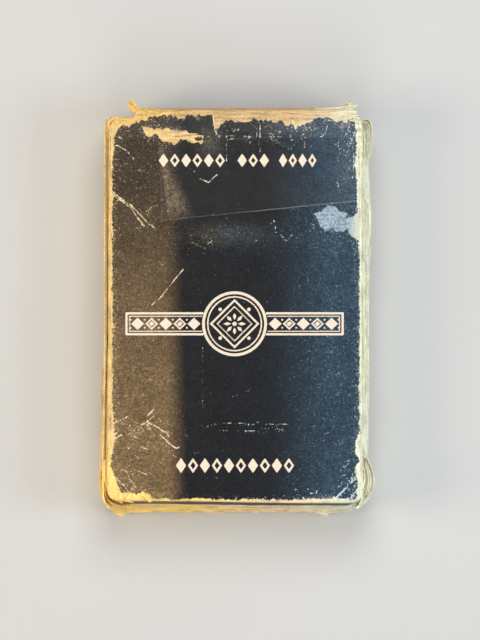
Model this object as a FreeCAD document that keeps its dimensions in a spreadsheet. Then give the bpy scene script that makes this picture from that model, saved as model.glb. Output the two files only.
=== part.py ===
import FreeCAD, Part
import math
import os

import Sketcher
from FreeCAD import Placement, Rotation, Vector

# A worn paperboard tuck box for a bridge-size card deck, lying on its rear panel.
# Frame: origin at the middle of the rear panel's flat underside, +X across the box,
# +Y towards the lid end, +Z up through the printed face.
DIMENSIONS = [
    # the folded board
    ("board", 0.45, "thickness of the board"),
    ("ply_gap", 0.03, "air between two glued plies"),
    ("fold_gap", 0.05, "air at a fold, between two panels"),
    ("box_width", 60.0, "width between the two long folds"),
    ("box_height", 18.2, "underside to face"),
    ("face_low", 45.6, "centre to the face's bottom fold"),
    ("rear_low", 48.3, "centre to the rear panel's bottom fold"),
    ("rear_high", 46.2, "centre to the rear panel's mouth edge"),
    ("shoulder", 45.6, "centre to the face's end on either side of the lid"),
    ("corner_radius", 2.6, "worn corner of a panel"),
    ("notch_radius", 8.0, "thumb notch in the rear panel's mouth edge"),
    # the crushed mouth end of the face
    ("crease", 40.5, "centre to the crease where the face starts to slope"),
    ("lid_fold", 47.2, "centre to the lid fold"),
    ("lid_fold_level", 17.4, "height of the lid fold"),
    # the side walls
    ("wall_end", 45.4, "centre to a side wall's mouth edge"),
    ("wall_tail", 48.6, "centre to the end of a side wall before its slanted trim"),
    # the lid and its tongue
    ("lid_left", 23.6, "centre to the lid's torn left end"),
    ("lid_right", 29.3, "centre to the lid's right end"),
    ("lid_radius", 40.0, "radius of the bowed lid"),
    ("lid_bulge", 48.2, "centre to the lid's furthest point"),
    ("lid_bulge_level", 8.6, "height of the lid's furthest point"),
    ("lid_foot", 0.95, "height of the lid's lower end"),
    ("ear_reach", 49.2, "centre to the tip of a torn ply that stands off the fold"),
    ("ear_width", 1.8, "width of such a ply"),
    ("ear_level", 14.8, "underside height of such a ply"),
    ("ear_depth", 0.8, "thickness of such a ply"),
    ("tongue_level", 0.75, "underside height of the tuck tongue"),
    ("tongue_root", 46.97, "centre to the tongue's fold"),
    ("tongue_tip", 33.4, "centre to the tongue's free edge"),
    ("tongue_inset", 1.2, "how much narrower than the lid the tongue is, each side"),
    ("tongue_corner", 5.0, "corner radius of the tongue"),
    # the dust flaps at the mouth
    ("flap_face", 45.9, "centre to the outer side of a top dust flap"),
    ("flap_reach", 17.4, "length of a dust flap from its fold"),
    ("flap_foot", 1.6, "lower end of a dust flap's fold"),
    ("flap_head", 16.6, "upper end of a dust flap's fold"),
    ("flap_tip_foot", 3.0, "lower corner of a dust flap's tip"),
    ("flap_tip_head", 7.6, "upper corner of a dust flap's tip"),
    ("flap_corner", 2.0, "corner radius of a dust flap's tip"),
    # the bottom flaps
    ("inner_flap_foot", 6.0, "how far up the slope the inner bottom flap ends"),
    ("bottom_inset", 0.7, "side clearance of the bottom inner and dust flaps"),
    ("bottom_taper", 2.5, "taper of a bottom dust flap"),
    # the repair tape
    ("tape", 0.08, "thickness of the clear tape"),
    ("tape_left", 17.0, "centre to the tape's left edge"),
    ("tape_low_left", 20.9, "centre to the tape's lower edge at its left end"),
    ("tape_low_right", 25.1, "centre to the tape's lower edge at its right end"),
    ("tape_fold_gap", 0.35, "bare strip between the tape and the fold line"),
    ("tape_end_level", 9.0, "height at which the tape ends on the lid"),
    # the cards
    ("card_width", 57.15, "bridge card, 2.25 inch"),
    ("card_length", 88.9, "bridge card, 3.5 inch"),
    ("card_corner", 3.2, "corner radius of a card"),
    ("card", 0.27, "thickness of a card"),
    ("card_pitch", 0.28, "card plus the air under the next one"),
    ("deck_level", 1.35, "underside height of the lowest card"),
    ("suit_count", 13, "cards in a suit"),
    ("joker_count", 2, "jokers"),
]
# How far each side wall bows out, in mm, at places along it from the bottom end to the mouth.
RIGHT_BOW = [(-48.6, 1.6), (-43.0, 3.2), (-33.0, 2.6), (-8.0, 2.9), (22.0, 3.3), (37.0, 2.6), (45.4, 0.15)]
LEFT_BOW = [(-48.6, 1.3), (-30.0, 1.4), (0.0, 1.0), (25.0, 0.6), (45.4, 0.12)]
LEFT, RIGHT = -1, 1
SLOPE = "((dims.rear_low - dims.face_low) / (dims.box_height - 2 * dims.board))"
SLANT = f"cos(atan({SLOPE}))"

doc = FreeCAD.newDocument("tuck_box")
sheet = doc.addObject("Spreadsheet::Sheet", "dims")


def fill_sheet():
    for row, (alias, number, meaning) in enumerate(DIMENSIONS, start=1):
        sheet.set(f"A{row}", str(number))
        sheet.setAlias(f"A{row}", alias)
        sheet.set(f"B{row}", meaning)
    doc.recompute()


def value(expression):
    """The number that an expression on the sheet gives now."""
    return float(sheet.evalExpression(str(expression)))


def new_body(name, several=False):
    body = doc.addObject("PartDesign::Body", name)
    body.Label = name
    body.AllowCompound = several
    return body


def origin_feature(body, role):
    return next(item for item in body.Origin.OriginFeatures if item.Role == role)


def new_sketch(body, name, plane, offset):
    """A sketch on one of the body's own planes, moved along its normal by an expression."""
    sketch = body.newObject("Sketcher::SketchObject", f"{body.Label}_{name}")
    sketch.AttachmentSupport = (origin_feature(body, plane), "")
    sketch.MapMode = "FlatFace"
    sketch.setExpression("AttachmentOffset.Base.z", str(offset))
    return sketch


def bind(sketch, kind, *where, to):
    """A dimensional constraint whose value is an expression on the sheet."""
    index = sketch.addConstraint(Sketcher.Constraint(kind, *where, value(to)))
    sketch.setExpression(f"Constraints[{index}]", str(to))


def pin_point(sketch, edge, end, across, along):
    bind(sketch, "DistanceX", -1, 1, edge, end, to=across)
    bind(sketch, "DistanceY", -1, 1, edge, end, to=along)


def draw_polygon(sketch, corners):
    """Straight edges through corners (across, along) or (across, along, radius)."""
    places = [Vector(value(corner[0]), value(corner[1]), 0) for corner in corners]
    count = len(corners)
    for index in range(count):
        line = Part.LineSegment(places[index], places[(index + 1) % count])
        sketch.addGeometry(line, False)
    for index in range(count):
        sketch.addConstraint(Sketcher.Constraint("Coincident", index, 2, (index + 1) % count, 1))
    for index, corner in enumerate(corners):
        pin_point(sketch, index, 1, corner[0], corner[1])
    for index, corner in enumerate(corners):
        if len(corner) == 3:
            sketch.fillet(index, 1, value(corner[2]), True, True)
            arc = sketch.GeometryCount - 2
            bind(sketch, "Radius", arc, to=corner[2])


def draw_bowed_strip(sketch, side, furthest, middle, radius, thickness, low, high):
    """A strip of board bowed towards side, cut level at its lower and upper ends."""
    centre_across = f"{side} * ({furthest} - ({radius}))"
    centre = Vector(value(centre_across), value(middle), 0)
    radii = [f"({radius})", f"({radius}) - ({thickness})"]
    for arc_radius in radii:
        size = value(arc_radius)
        low_turn = math.asin((value(low) - centre.y) / size)
        high_turn = math.asin((value(high) - centre.y) / size)
        turns = (low_turn, high_turn) if side == RIGHT else (math.pi - high_turn, math.pi - low_turn)
        circle = Part.Circle(centre, Vector(0, 0, 1), size)
        sketch.addGeometry(Part.ArcOfCircle(circle, *turns), False)
    low_end, high_end = (1, 2) if side == RIGHT else (2, 1)
    for end in (low_end, high_end):
        outer, inner = sketch.getPoint(0, end), sketch.getPoint(1, end)
        line = sketch.addGeometry(Part.LineSegment(outer, inner), False)
        sketch.addConstraint(Sketcher.Constraint("Coincident", line, 1, 0, end))
        sketch.addConstraint(Sketcher.Constraint("Coincident", line, 2, 1, end))
        sketch.addConstraint(Sketcher.Constraint("Horizontal", line))
    sketch.addConstraint(Sketcher.Constraint("Coincident", 0, 3, 1, 3))
    pin_point(sketch, 0, 3, centre_across, middle)
    bind(sketch, "Radius", 0, to=radii[0])
    bind(sketch, "Radius", 1, to=radii[1])
    bind(sketch, "DistanceY", -1, 1, 0, low_end, to=low)
    bind(sketch, "DistanceY", -1, 1, 0, high_end, to=high)


def pad(body, sketch, length):
    feature = body.newObject("PartDesign::Pad", f"{sketch.Name}_pad")
    feature.Profile = sketch
    feature.Length = value(length)
    feature.setExpression("Length", str(length))
    doc.recompute()
    return feature


def pocket(body, sketch, reversed_way=False):
    """Cuts the sketch right through, and refuses a cut that takes nothing away."""
    doc.recompute()
    before = body.Shape.Volume
    feature = body.newObject("PartDesign::Pocket", f"{sketch.Name}_pocket")
    feature.Profile = sketch
    feature.Type = "ThroughAll"
    feature.Reversed = reversed_way
    doc.recompute()
    if not body.Shape.Volume < before:
        raise ValueError(f"{feature.Name} cut nothing")


def plate(name, plane, offset, corners, thickness="dims.board"):
    """A flat sheet of board: an outline on one plane, padded by its thickness."""
    body = new_body(name)
    sketch = new_sketch(body, "outline", plane, offset)
    draw_polygon(sketch, corners)
    pad(body, sketch, thickness)
    return body


def make_face_panel():
    """Flat printed face, sloping down from its crease to the lid fold."""
    top, fold = "dims.box_height", "dims.lid_fold - dims.ply_gap"
    level = "dims.lid_fold_level"
    profile = [
        ("-dims.face_low", f"{top} - dims.board"),
        ("dims.crease", f"{top} - dims.board"),
        (fold, f"{level} - dims.board"),
        (fold, level),
        ("dims.crease", top),
        ("-dims.face_low", top),
    ]
    body = plate("face_panel", "YZ_Plane", "-dims.box_width / 2", profile, "dims.box_width")
    for side in (LEFT, RIGHT):
        round_upright_corner(body, side, -value("dims.face_low"))
    for side, lid_end in ((LEFT, "dims.lid_left"), (RIGHT, "dims.lid_right")):
        shoulder = new_sketch(body, f"shoulder_{side + 1}", "XY_Plane", "0")
        near, far = f"{side} * {lid_end}", f"{side} * dims.box_width"
        low, high = "dims.shoulder", "dims.lid_fold + 1"
        draw_polygon(shoulder, [(near, low), (far, low), (far, high), (near, high)])
        pocket(body, shoulder, reversed_way=True)


def round_upright_corner(body, side, along):
    """Rounds the upright edge of a panel at one of its worn corners."""
    across = side * value("dims.box_width") / 2
    solid = body.Tip
    names = [
        f"Edge{index}"
        for index, edge in enumerate(solid.Shape.Edges, start=1)
        if all(abs(v.X - across) < 0.01 and abs(v.Y - along) < 0.01 for v in edge.Vertexes)
    ]
    fillet = body.newObject("PartDesign::Fillet", f"{body.Label}_corner_{side + 1}")
    fillet.Base = (solid, names)
    fillet.Radius = value("dims.corner_radius")
    fillet.setExpression("Radius", "dims.corner_radius")
    doc.recompute()


def make_rear_panel():
    """Flat rear panel with a round thumb notch in its mouth edge."""
    half = "dims.box_width / 2"
    corners = [
        (f"-{half}", "-dims.rear_low", "dims.corner_radius"),
        (half, "-dims.rear_low", "dims.corner_radius"),
        (half, "dims.rear_high", "dims.corner_radius"),
        (f"-{half}", "dims.rear_high", "dims.corner_radius"),
    ]
    body = plate("rear_panel", "XY_Plane", "0", corners)
    notch = new_sketch(body, "notch", "XY_Plane", "0")
    middle = Vector(0, value("dims.rear_high"), 0)
    notch.addGeometry(Part.Circle(middle, Vector(0, 0, 1), value("dims.notch_radius")), False)
    pin_point(notch, 0, 3, "0", "dims.rear_high")
    bind(notch, "Radius", 0, to="dims.notch_radius")
    pocket(body, notch, reversed_way=True)


def bow_radius(bow, low, high):
    """Radius of the arc whose ends are at two levels and whose middle stands out by bow."""
    return f"(((({high}) - ({low})) / 2) ^ 2 + {bow} ^ 2) / (2 * {bow})"


def make_wall(name, side, bows, fold, low, high, depth="dims.board + dims.ply_gap"):
    """A side wall, bowed out by a different amount at each place, that ends depth inside the bottom."""
    body = new_body(name)
    middle = f"(({low}) + ({high})) / 2"
    sections = []
    for index, (along, bow) in enumerate(bows):
        sketch = new_sketch(body, f"section_{index}", "XZ_Plane", -along)
        radius = bow_radius(bow, low, high)
        furthest = f"({fold} + {bow})"
        draw_bowed_strip(sketch, side, furthest, middle, radius, "dims.board", low, high)
        sections.append(sketch)
    loft = body.newObject("PartDesign::AdditiveLoft", f"{name}_loft")
    loft.Profile = sections[0]
    loft.Sections = sections[1:]
    loft.Ruled = True
    doc.recompute()
    trim_to_bottom(body, depth)
    if bows[-1][0] > value("dims.crease"):
        trim_to_face(body, f"dims.box_height - ({high})")


def trim_to_face(body, depth):
    """Cuts a wall's upper edge to the face's slope near the mouth, depth under the face's outer side."""
    sketch = new_sketch(body, "slope_trim", "YZ_Plane", "-dims.box_width")
    above = "dims.box_height + 1"
    corners = [
        ("dims.crease", f"dims.box_height - ({depth})"),
        ("dims.lid_fold", f"dims.lid_fold_level - ({depth})"),
        ("dims.lid_fold", above),
        ("dims.crease", above),
    ]
    draw_polygon(sketch, corners)
    pocket(body, sketch, reversed_way=True)


def trim_to_bottom(body, depth):
    """Cuts a wall off along the slanted bottom flap, depth inside the flap's outer side."""
    sketch = new_sketch(body, "trim", "YZ_Plane", "-dims.box_width")
    lower, upper = "-1", "dims.box_height + 1"
    beyond = "-dims.rear_low - 10"
    corners = [
        (beyond, lower),
        (bottom_line(lower, depth), lower),
        (bottom_line(upper, depth), upper),
        (beyond, upper),
    ]
    draw_polygon(sketch, corners)
    pocket(body, sketch, reversed_way=True)


def bottom_line(level, depth):
    """Where the slanted bottom end stands at a level, depth inside its outer side."""
    return f"-dims.rear_low + (({level}) - dims.board) * {SLOPE} + ({depth}) / {SLANT}"


def make_side_walls():
    low, high = "dims.board", "dims.box_height - dims.board"
    fold = "dims.box_width / 2"
    make_wall("left_side_panel", LEFT, LEFT_BOW, fold, low, high)
    make_wall("right_side_panel", RIGHT, RIGHT_BOW, fold, low, high)
    inner_fold = f"({fold} - dims.board - dims.ply_gap)"
    inner_low, inner_high = f"{low} + dims.board", f"{high} - dims.board"
    seam = [(along, bow) for along, bow in RIGHT_BOW if along < value("dims.crease")]
    behind_flaps = "3 * dims.board + 3 * dims.ply_gap"
    make_wall("glue_flap", RIGHT, seam, inner_fold, inner_low, inner_high, behind_flaps)


def lay_on_bottom(body):
    """Stands a flat flap on the slanted bottom end, its outer side facing out."""
    turn = 90 - math.degrees(math.atan(value(SLOPE)))
    body.Placement = Placement(Vector(0, 0, 0), Rotation(Vector(1, 0, 0), turn))
    body.setExpression("Placement.Base.y", "-dims.rear_low")
    body.setExpression("Placement.Base.z", "dims.board + dims.ply_gap")


def layer_offset(layer):
    """Underside of the bottom end's ply number layer, counted from the outermost."""
    return f"-({layer + 1} * dims.board + {layer} * dims.ply_gap)"


def make_bottom_flaps():
    half = "dims.box_width / 2"
    inner = f"({half} - dims.bottom_inset)"
    length = f"((dims.box_height - 2 * dims.board - dims.ply_gap) / {SLANT})"
    foot = "2 * dims.fold_gap"
    outline = [(f"-{half}", foot), (half, foot), (half, length), (f"-{half}", length)]
    lay_on_bottom(plate("bottom_outer_flap", "XY_Plane", layer_offset(0), outline))
    head = f"{length} - dims.board"
    outline = [
        (f"-{inner}", "dims.inner_flap_foot", "dims.flap_corner"),
        (inner, "dims.inner_flap_foot", "dims.flap_corner"),
        (inner, head),
        (f"-{inner}", head),
    ]
    lay_on_bottom(plate("bottom_inner_flap", "XY_Plane", layer_offset(1), outline))
    for name, side in (("bottom_dust_flap_left", LEFT), ("bottom_dust_flap_right", RIGHT)):
        tip = f"{side} * ({half} - dims.flap_reach)"
        root = f"{side} * ({inner} - dims.board)"
        low, high = "2 * dims.board", f"{length} - 2 * dims.board"
        outline = [
            (root, low),
            (tip, f"{low} + dims.bottom_taper", "dims.flap_corner"),
            (tip, f"{high} - dims.bottom_taper", "dims.flap_corner"),
            (root, high),
        ]
        lay_on_bottom(plate(name, "XY_Plane", layer_offset(2), outline))


def make_lid():
    """Lid panel bowed over the mouth, with a torn ply standing off each end of its fold."""
    body = new_body("lid_panel")
    sketch = new_sketch(body, "profile", "YZ_Plane", "-dims.lid_left")
    high = "dims.lid_fold_level - dims.board - dims.fold_gap"
    draw_bowed_strip(
        sketch, RIGHT, "dims.lid_bulge", "dims.lid_bulge_level", "dims.lid_radius", "dims.board",
        "dims.lid_foot", high,
    )
    pad(body, sketch, "dims.lid_left + dims.lid_right")
    for name, left in (("ear_left", "-dims.lid_left"), ("ear_right", "dims.lid_right - dims.ear_width")):
        ear = new_sketch(body, name, "XY_Plane", "dims.ear_level")
        right, root = f"{left} + dims.ear_width", "dims.lid_fold - dims.board / 4"
        tip = "dims.ear_reach"
        draw_polygon(ear, [(left, root), (right, root), (right, tip), (left, tip)])
        pad(body, ear, "dims.ear_depth")


def make_tongue():
    """Tuck tongue, folded in under the deck at rest."""
    left, right = "-dims.lid_left + dims.tongue_inset", "dims.lid_right - dims.tongue_inset"
    corners = [
        (left, "dims.tongue_tip", "dims.tongue_corner"),
        (right, "dims.tongue_tip", "dims.tongue_corner"),
        (right, "dims.tongue_root"),
        (left, "dims.tongue_root"),
    ]
    plate("tuck_tongue", "XY_Plane", "dims.tongue_level", corners)


def make_top_dust_flaps():
    """Flaps folded in from the side walls, tapered so that they swing out under the lid."""
    for name, side in (("top_dust_flap_left", LEFT), ("top_dust_flap_right", RIGHT)):
        root = f"{side} * (dims.box_width / 2 - dims.ply_gap)"
        tip = f"{side} * (dims.box_width / 2 - dims.flap_reach)"
        corners = [
            (root, "dims.flap_foot"),
            (tip, "dims.flap_tip_foot", "dims.flap_corner"),
            (tip, "dims.flap_tip_head", "dims.flap_corner"),
            (root, "dims.flap_head"),
        ]
        plate(name, "XZ_Plane", "-dims.flap_face", corners)


def make_tape():
    """Clear tape over the lid fold: one length on the face, one on the lid."""
    top, left = "dims.box_height", "-dims.tape_left"
    fall = "((dims.box_height - dims.lid_fold_level) / (dims.lid_fold - dims.crease))"
    edge = "dims.lid_fold - dims.tape_fold_gap"
    edge_level = f"dims.lid_fold_level + dims.tape_fold_gap * {fall}"
    profile = [
        ("dims.tape_low_left", top),
        ("dims.crease", top),
        (edge, edge_level),
        (edge, f"{edge_level} + dims.tape"),
        ("dims.crease", f"{top} + dims.tape"),
        ("dims.tape_low_left", f"{top} + dims.tape"),
    ]
    face_tape = plate("repair_tape_on_face", "YZ_Plane", left, profile, "dims.tape_left + dims.lid_right")
    slant = new_sketch(face_tape, "slant", "XY_Plane", "0")
    draw_polygon(
        slant,
        [
            (f"{left} - 1", "dims.tape_low_left - 1"),
            ("dims.lid_right + 1", "dims.tape_low_left - 1"),
            ("dims.lid_right + 1", "dims.tape_low_right"),
            (left, "dims.tape_low_left"),
        ],
    )
    pocket(face_tape, slant, reversed_way=True)
    lid_tape = new_body("repair_tape_on_lid")
    sketch = new_sketch(lid_tape, "profile", "YZ_Plane", left)
    high = "dims.lid_fold_level - dims.board - dims.fold_gap"
    draw_bowed_strip(
        sketch, RIGHT, "(dims.lid_bulge + dims.tape)", "dims.lid_bulge_level",
        "dims.lid_radius + dims.tape", "dims.tape", "dims.tape_end_level", high,
    )
    pad(lid_tape, sketch, "dims.tape_left + dims.lid_right - dims.ear_width - dims.fold_gap")


def make_packet(name, first, count):
    """A packet of separate cards, pushed down until it meets the slanted bottom end."""
    body = new_body(name, several=True)
    level = f"dims.deck_level + ({first}) * dims.card_pitch"
    top = f"{level} + ({count}) * dims.card_pitch"
    low = bottom_line(top, "3 * dims.board + 3 * dims.ply_gap")
    high = f"{low} + dims.card_length"
    half = "dims.card_width / 2"
    sketch = new_sketch(body, "outline", "XY_Plane", level)
    draw_polygon(
        sketch,
        [
            (f"-{half}", low, "dims.card_corner"),
            (half, low, "dims.card_corner"),
            (half, high, "dims.card_corner"),
            (f"-{half}", high, "dims.card_corner"),
        ],
    )
    card = pad(body, sketch, "dims.card")
    stack = body.newObject("PartDesign::LinearPattern", f"{name}_stack")
    stack.Originals = [card]
    stack.Direction = (origin_feature(body, "Z_Axis"), [""])
    stack.setExpression("Length", f"(({count}) - 1) * dims.card_pitch")
    stack.setExpression("Occurrences", str(count))
    body.Tip = stack
    doc.recompute()
    if len(body.Shape.Solids) != round(value(count)):
        raise ValueError(f"{name} has {len(body.Shape.Solids)} cards")


def make_deck():
    """The deck from its lowest card up: two jokers, then four suits."""
    make_packet("joker_cards", "0", "dims.joker_count")
    for index, suit in enumerate(("spade", "heart", "diamond", "club")):
        first = f"dims.joker_count + {index} * dims.suit_count"
        make_packet(f"{suit}_cards", first, "dims.suit_count")


def write_parts():
    """Checks every object, then writes each sub-part as its own STEP file."""
    for item in doc.Objects:
        if "Invalid" in item.State or "Error" in item.State:
            raise ValueError(f"{item.Name} is {item.State}")
    bodies = [item for item in doc.Objects if item.TypeId == "PartDesign::Body"]
    for body in bodies:
        if body.Shape.isNull() or not body.Shape.isValid():
            raise ValueError(f"{body.Label} has no valid shape")
    os.makedirs("parts", exist_ok=True)
    for body in bodies:
        body.Shape.exportStep(f"parts/{body.Label}.step")
        box = body.Shape.optimalBoundingBox()
        print(f"{body.Label}: {box.XMin:.2f} {box.XMax:.2f} {box.YMin:.2f} {box.YMax:.2f} "
              f"{box.ZMin:.2f} {box.ZMax:.2f} volume {body.Shape.Volume:.1f}")


fill_sheet()
make_face_panel()
make_rear_panel()
make_side_walls()
make_bottom_flaps()
make_lid()
make_tongue()
make_top_dust_flaps()
make_tape()
make_deck()
doc.recompute()
write_parts()
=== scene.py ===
import math

import bpy
import numpy as np
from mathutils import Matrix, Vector


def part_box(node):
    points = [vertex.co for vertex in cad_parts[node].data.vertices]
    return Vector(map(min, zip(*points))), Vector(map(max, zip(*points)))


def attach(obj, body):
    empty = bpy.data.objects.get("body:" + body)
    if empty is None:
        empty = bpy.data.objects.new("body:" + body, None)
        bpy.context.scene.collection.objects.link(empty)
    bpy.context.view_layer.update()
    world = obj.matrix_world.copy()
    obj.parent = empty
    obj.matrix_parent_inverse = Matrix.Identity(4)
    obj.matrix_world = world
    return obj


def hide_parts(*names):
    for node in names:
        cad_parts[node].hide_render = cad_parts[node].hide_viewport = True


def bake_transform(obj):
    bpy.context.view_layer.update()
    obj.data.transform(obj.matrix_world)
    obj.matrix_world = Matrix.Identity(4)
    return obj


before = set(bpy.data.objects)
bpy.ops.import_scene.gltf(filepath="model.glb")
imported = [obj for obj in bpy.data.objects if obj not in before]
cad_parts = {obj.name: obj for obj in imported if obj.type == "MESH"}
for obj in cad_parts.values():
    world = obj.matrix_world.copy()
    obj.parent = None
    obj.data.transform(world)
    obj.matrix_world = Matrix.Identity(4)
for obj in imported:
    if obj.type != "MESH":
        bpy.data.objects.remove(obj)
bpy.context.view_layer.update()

# Every shape below is worked out in millimetres in the part's own frame: +X across, +Y to the lid, +Z up
# through the printed face. add_mesh() turns it into metres. The last number given to value_noise() and
# fractal() is a seed, which picks the pattern.
MM = 0.001


# ---------------------------------------------------------------- sizes read from the frame

def box_mm(node):
    """Lowest and highest corner of a CAD node, in mm."""
    low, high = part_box(node)
    return np.array(low) / MM, np.array(high) / MM


FACE_LOW, FACE_HIGH = box_mm("face_panel")
REAR_LOW, REAR_HIGH = box_mm("rear_panel")
LEFT_LOW, LEFT_HIGH = box_mm("left_side_panel")
RIGHT_LOW, RIGHT_HIGH = box_mm("right_side_panel")
TONGUE_LOW, TONGUE_HIGH = box_mm("tuck_tongue")
TAPE_LOW, TAPE_HIGH = box_mm("repair_tape_on_face")
GLUE_LOW, GLUE_HIGH = box_mm("glue_flap")

BOARD = 0.45
FOLD_PLY = 0.16
TAPE_FILM = 0.06
TONGUE_BOARD = 0.40
DUST_FLAP_BOARD = 0.38
WALL_FOOT = 0.4
LEFT_WALL_TOP = 17.35
RIGHT_WALL_TOP = 17.75
HALF_WIDTH = FACE_HIGH[0]
FACE_TOP = FACE_HIGH[2]
FACE_END = FACE_LOW[1]
FOLD_Y = FACE_HIGH[1]
CREASE_Y = 40.5
FOLD_DROP = 0.8
CORNER_RADIUS = 2.6
SHOULDER_Y = 45.7
SHOULDER_LEFT = -23.6
SHOULDER_RIGHT = 29.3
LID_ARC_CENTRE = (8.2, 8.6)
LID_ARC_RADIUS = 40.0
LID_FOOT = 1.25
LID_TOP = 17.15
TONGUE_HEIGHT = 0.80
TONGUE_RADIUS = 5.0
FLAP_FOOT = 0.5
FLAP_TOP = FACE_TOP - 0.85
DUST_FLAP_HINGE_X = 29.75
FOLD_CLEARANCE = 0.05
TAPE_CLEARANCE = 0.13
TAPE_EDGE_Y = 20.9
TAPE_EDGE_RISE = 4.7
TAPE_LOWER_END = 9.0


# ---------------------------------------------------------------- numbers: noise and distances

def value_noise(x, y, size, seed):
    """Smooth noise from -1 to 1 whose lumps are about size mm across."""
    table = np.random.default_rng(seed).uniform(-1.0, 1.0, (128, 128))
    u = np.asarray(x, float) / size + 64.37
    v = np.asarray(y, float) / size + 64.71
    i = np.floor(u).astype(int)
    j = np.floor(v).astype(int)
    s = u - i
    t = v - j
    s = s * s * (3.0 - 2.0 * s)
    t = t * t * (3.0 - 2.0 * t)
    low = table[i % 128, j % 128] * (1 - s) + table[(i + 1) % 128, j % 128] * s
    high = table[i % 128, (j + 1) % 128] * (1 - s) + table[(i + 1) % 128, (j + 1) % 128] * s
    return low * (1 - t) + high * t


def fractal(x, y, size, seed, octaves=3):
    """Several layers of noise, each half the size of the one before."""
    total = 0.0
    weight = 1.0
    for octave in range(octaves):
        total = total + weight * value_noise(x, y, size / 2 ** octave, seed + octave)
        weight *= 0.5
    return total / 1.75


def line_distance(x, y, points):
    """Distance in mm to a polyline."""
    nearest = np.full(np.shape(x), 1e9)
    for (ax, ay), (bx, by) in zip(points[:-1], points[1:]):
        dx = bx - ax
        dy = by - ay
        t = np.clip(((x - ax) * dx + (y - ay) * dy) / (dx * dx + dy * dy), 0, 1)
        nearest = np.minimum(nearest, np.hypot(x - ax - t * dx, y - ay - t * dy))
    return nearest


def inside_distance(x, y, corners):
    """Distance in mm to a polygon's outline, positive inside it."""
    distance = line_distance(x, y, list(corners) + [corners[0]])
    inside = np.zeros(np.shape(x), bool)
    for (ax, ay), (bx, by) in zip(corners, list(corners[1:]) + [corners[0]]):
        if ay == by:
            continue
        crosses = (ay > y) != (by > y)
        inside ^= crosses & (x < ax + (bx - ax) * (y - ay) / (by - ay))
    return np.where(inside, distance, -distance)


def smooth_step(value, low, high):
    t = np.clip((value - low) / (high - low), 0, 1)
    return t * t * (3 - 2 * t)


def spot(x, y, cx, cy, reach_x, reach_y):
    """A soft round patch, 1 at its centre."""
    return np.exp(-((x - cx) / reach_x) ** 2 - ((y - cy) / reach_y) ** 2)


def stations(value, table):
    """Straight-line interpolation in a table of (place, amount)."""
    places, amounts = zip(*sorted(table))
    return np.interp(value, places, amounts)


def smooth_path(points, count):
    """count points, evenly spaced, on a smooth curve through the given ones."""
    p = np.array(points, float)
    p = np.vstack([2 * p[0] - p[1], p, 2 * p[-1] - p[-2]])
    dense = []
    for k in range(1, len(p) - 2):
        for t in np.linspace(0, 1, 24, endpoint=False):
            a = 2 * p[k]
            b = (p[k + 1] - p[k - 1]) * t
            c = (2 * p[k - 1] - 5 * p[k] + 4 * p[k + 1] - p[k + 2]) * t * t
            d = (3 * p[k] - p[k - 1] - 3 * p[k + 1] + p[k + 2]) * t ** 3
            dense.append(0.5 * (a + b + c + d))
    dense.append(p[-2])
    dense = np.array(dense)
    steps = np.linalg.norm(np.diff(dense, axis=0), axis=1)
    along = np.concatenate([[0], np.cumsum(steps)])
    wanted = np.linspace(0, along[-1], count)
    return np.stack([np.interp(wanted, along, dense[:, k]) for k in range(3)], axis=1)


# ---------------------------------------------------------------- meshes

def add_mesh(name, vertices, faces, materials, face_material=None, flat=None, fields=None):
    """A mesh object from points in mm, with one number per point for each named field."""
    mesh = bpy.data.meshes.new(name)
    mesh.from_pydata((np.asarray(vertices) * MM).tolist(), [], faces)
    for material in materials:
        mesh.materials.append(material)
    if face_material is not None:
        mesh.polygons.foreach_set("material_index", np.asarray(face_material, np.int32))
    smooth = np.ones(len(faces), bool)
    if flat is not None:
        smooth = ~np.asarray(flat, bool)
    mesh.polygons.foreach_set("use_smooth", smooth)
    for field, values in (fields or {}).items():
        attribute = mesh.attributes.new(field, "FLOAT", "POINT")
        attribute.data.foreach_set("value", np.asarray(values, np.float32).ravel())
    mesh.update()
    piece = bpy.data.objects.new(name, mesh)
    bpy.context.scene.collection.objects.link(piece)
    return piece


def cell_loop(i, j, step, rows, cols):
    """The grid places round one coarse cell, with the fine ones kept on the sheet's own edge."""
    walk = [(i, j + k) for k in range(step)]
    walk += [(i + k, j + step) for k in range(step)]
    walk += [(i + step, j + step - k) for k in range(step)]
    walk += [(i + step - k, j) for k in range(step)]
    edge_rows = (0, rows - 1)
    edge_cols = (0, cols - 1)
    return [(a, b) for a, b in walk
            if (a % step == 0 and b % step == 0) or a in edge_rows or b in edge_cols]


def rim_faces(a, b):
    """Quads round the edge of a closed sheet, from the point numbers of its outer and inner skin."""
    rows, cols = a.shape
    faces = []
    for j in range(cols - 1):
        faces.append([a[0, j + 1], a[0, j], b[0, j], b[0, j + 1]])
        faces.append([a[-1, j], a[-1, j + 1], b[-1, j + 1], b[-1, j]])
    for i in range(rows - 1):
        faces.append([a[i + 1, -1], a[i, -1], b[i, -1], b[i + 1, -1]])
        faces.append([a[i, 0], a[i + 1, 0], b[i + 1, 0], b[i, 0]])
    return faces


def facing_out(faces, outer, inner):
    """A sheet's faces as plain numbers, all reversed if they look inwards."""
    i = outer.shape[0] // 2
    j = outer.shape[1] // 2
    one = outer[i, j] - outer[i - 1, j]
    two = outer[i, j] - outer[i, j - 1]
    if np.dot(np.cross(two, one), outer[i, j] - inner[i, j]) < 0:
        faces = [f[::-1] for f in faces]
    return [[int(v) for v in f] for f in faces]


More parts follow.
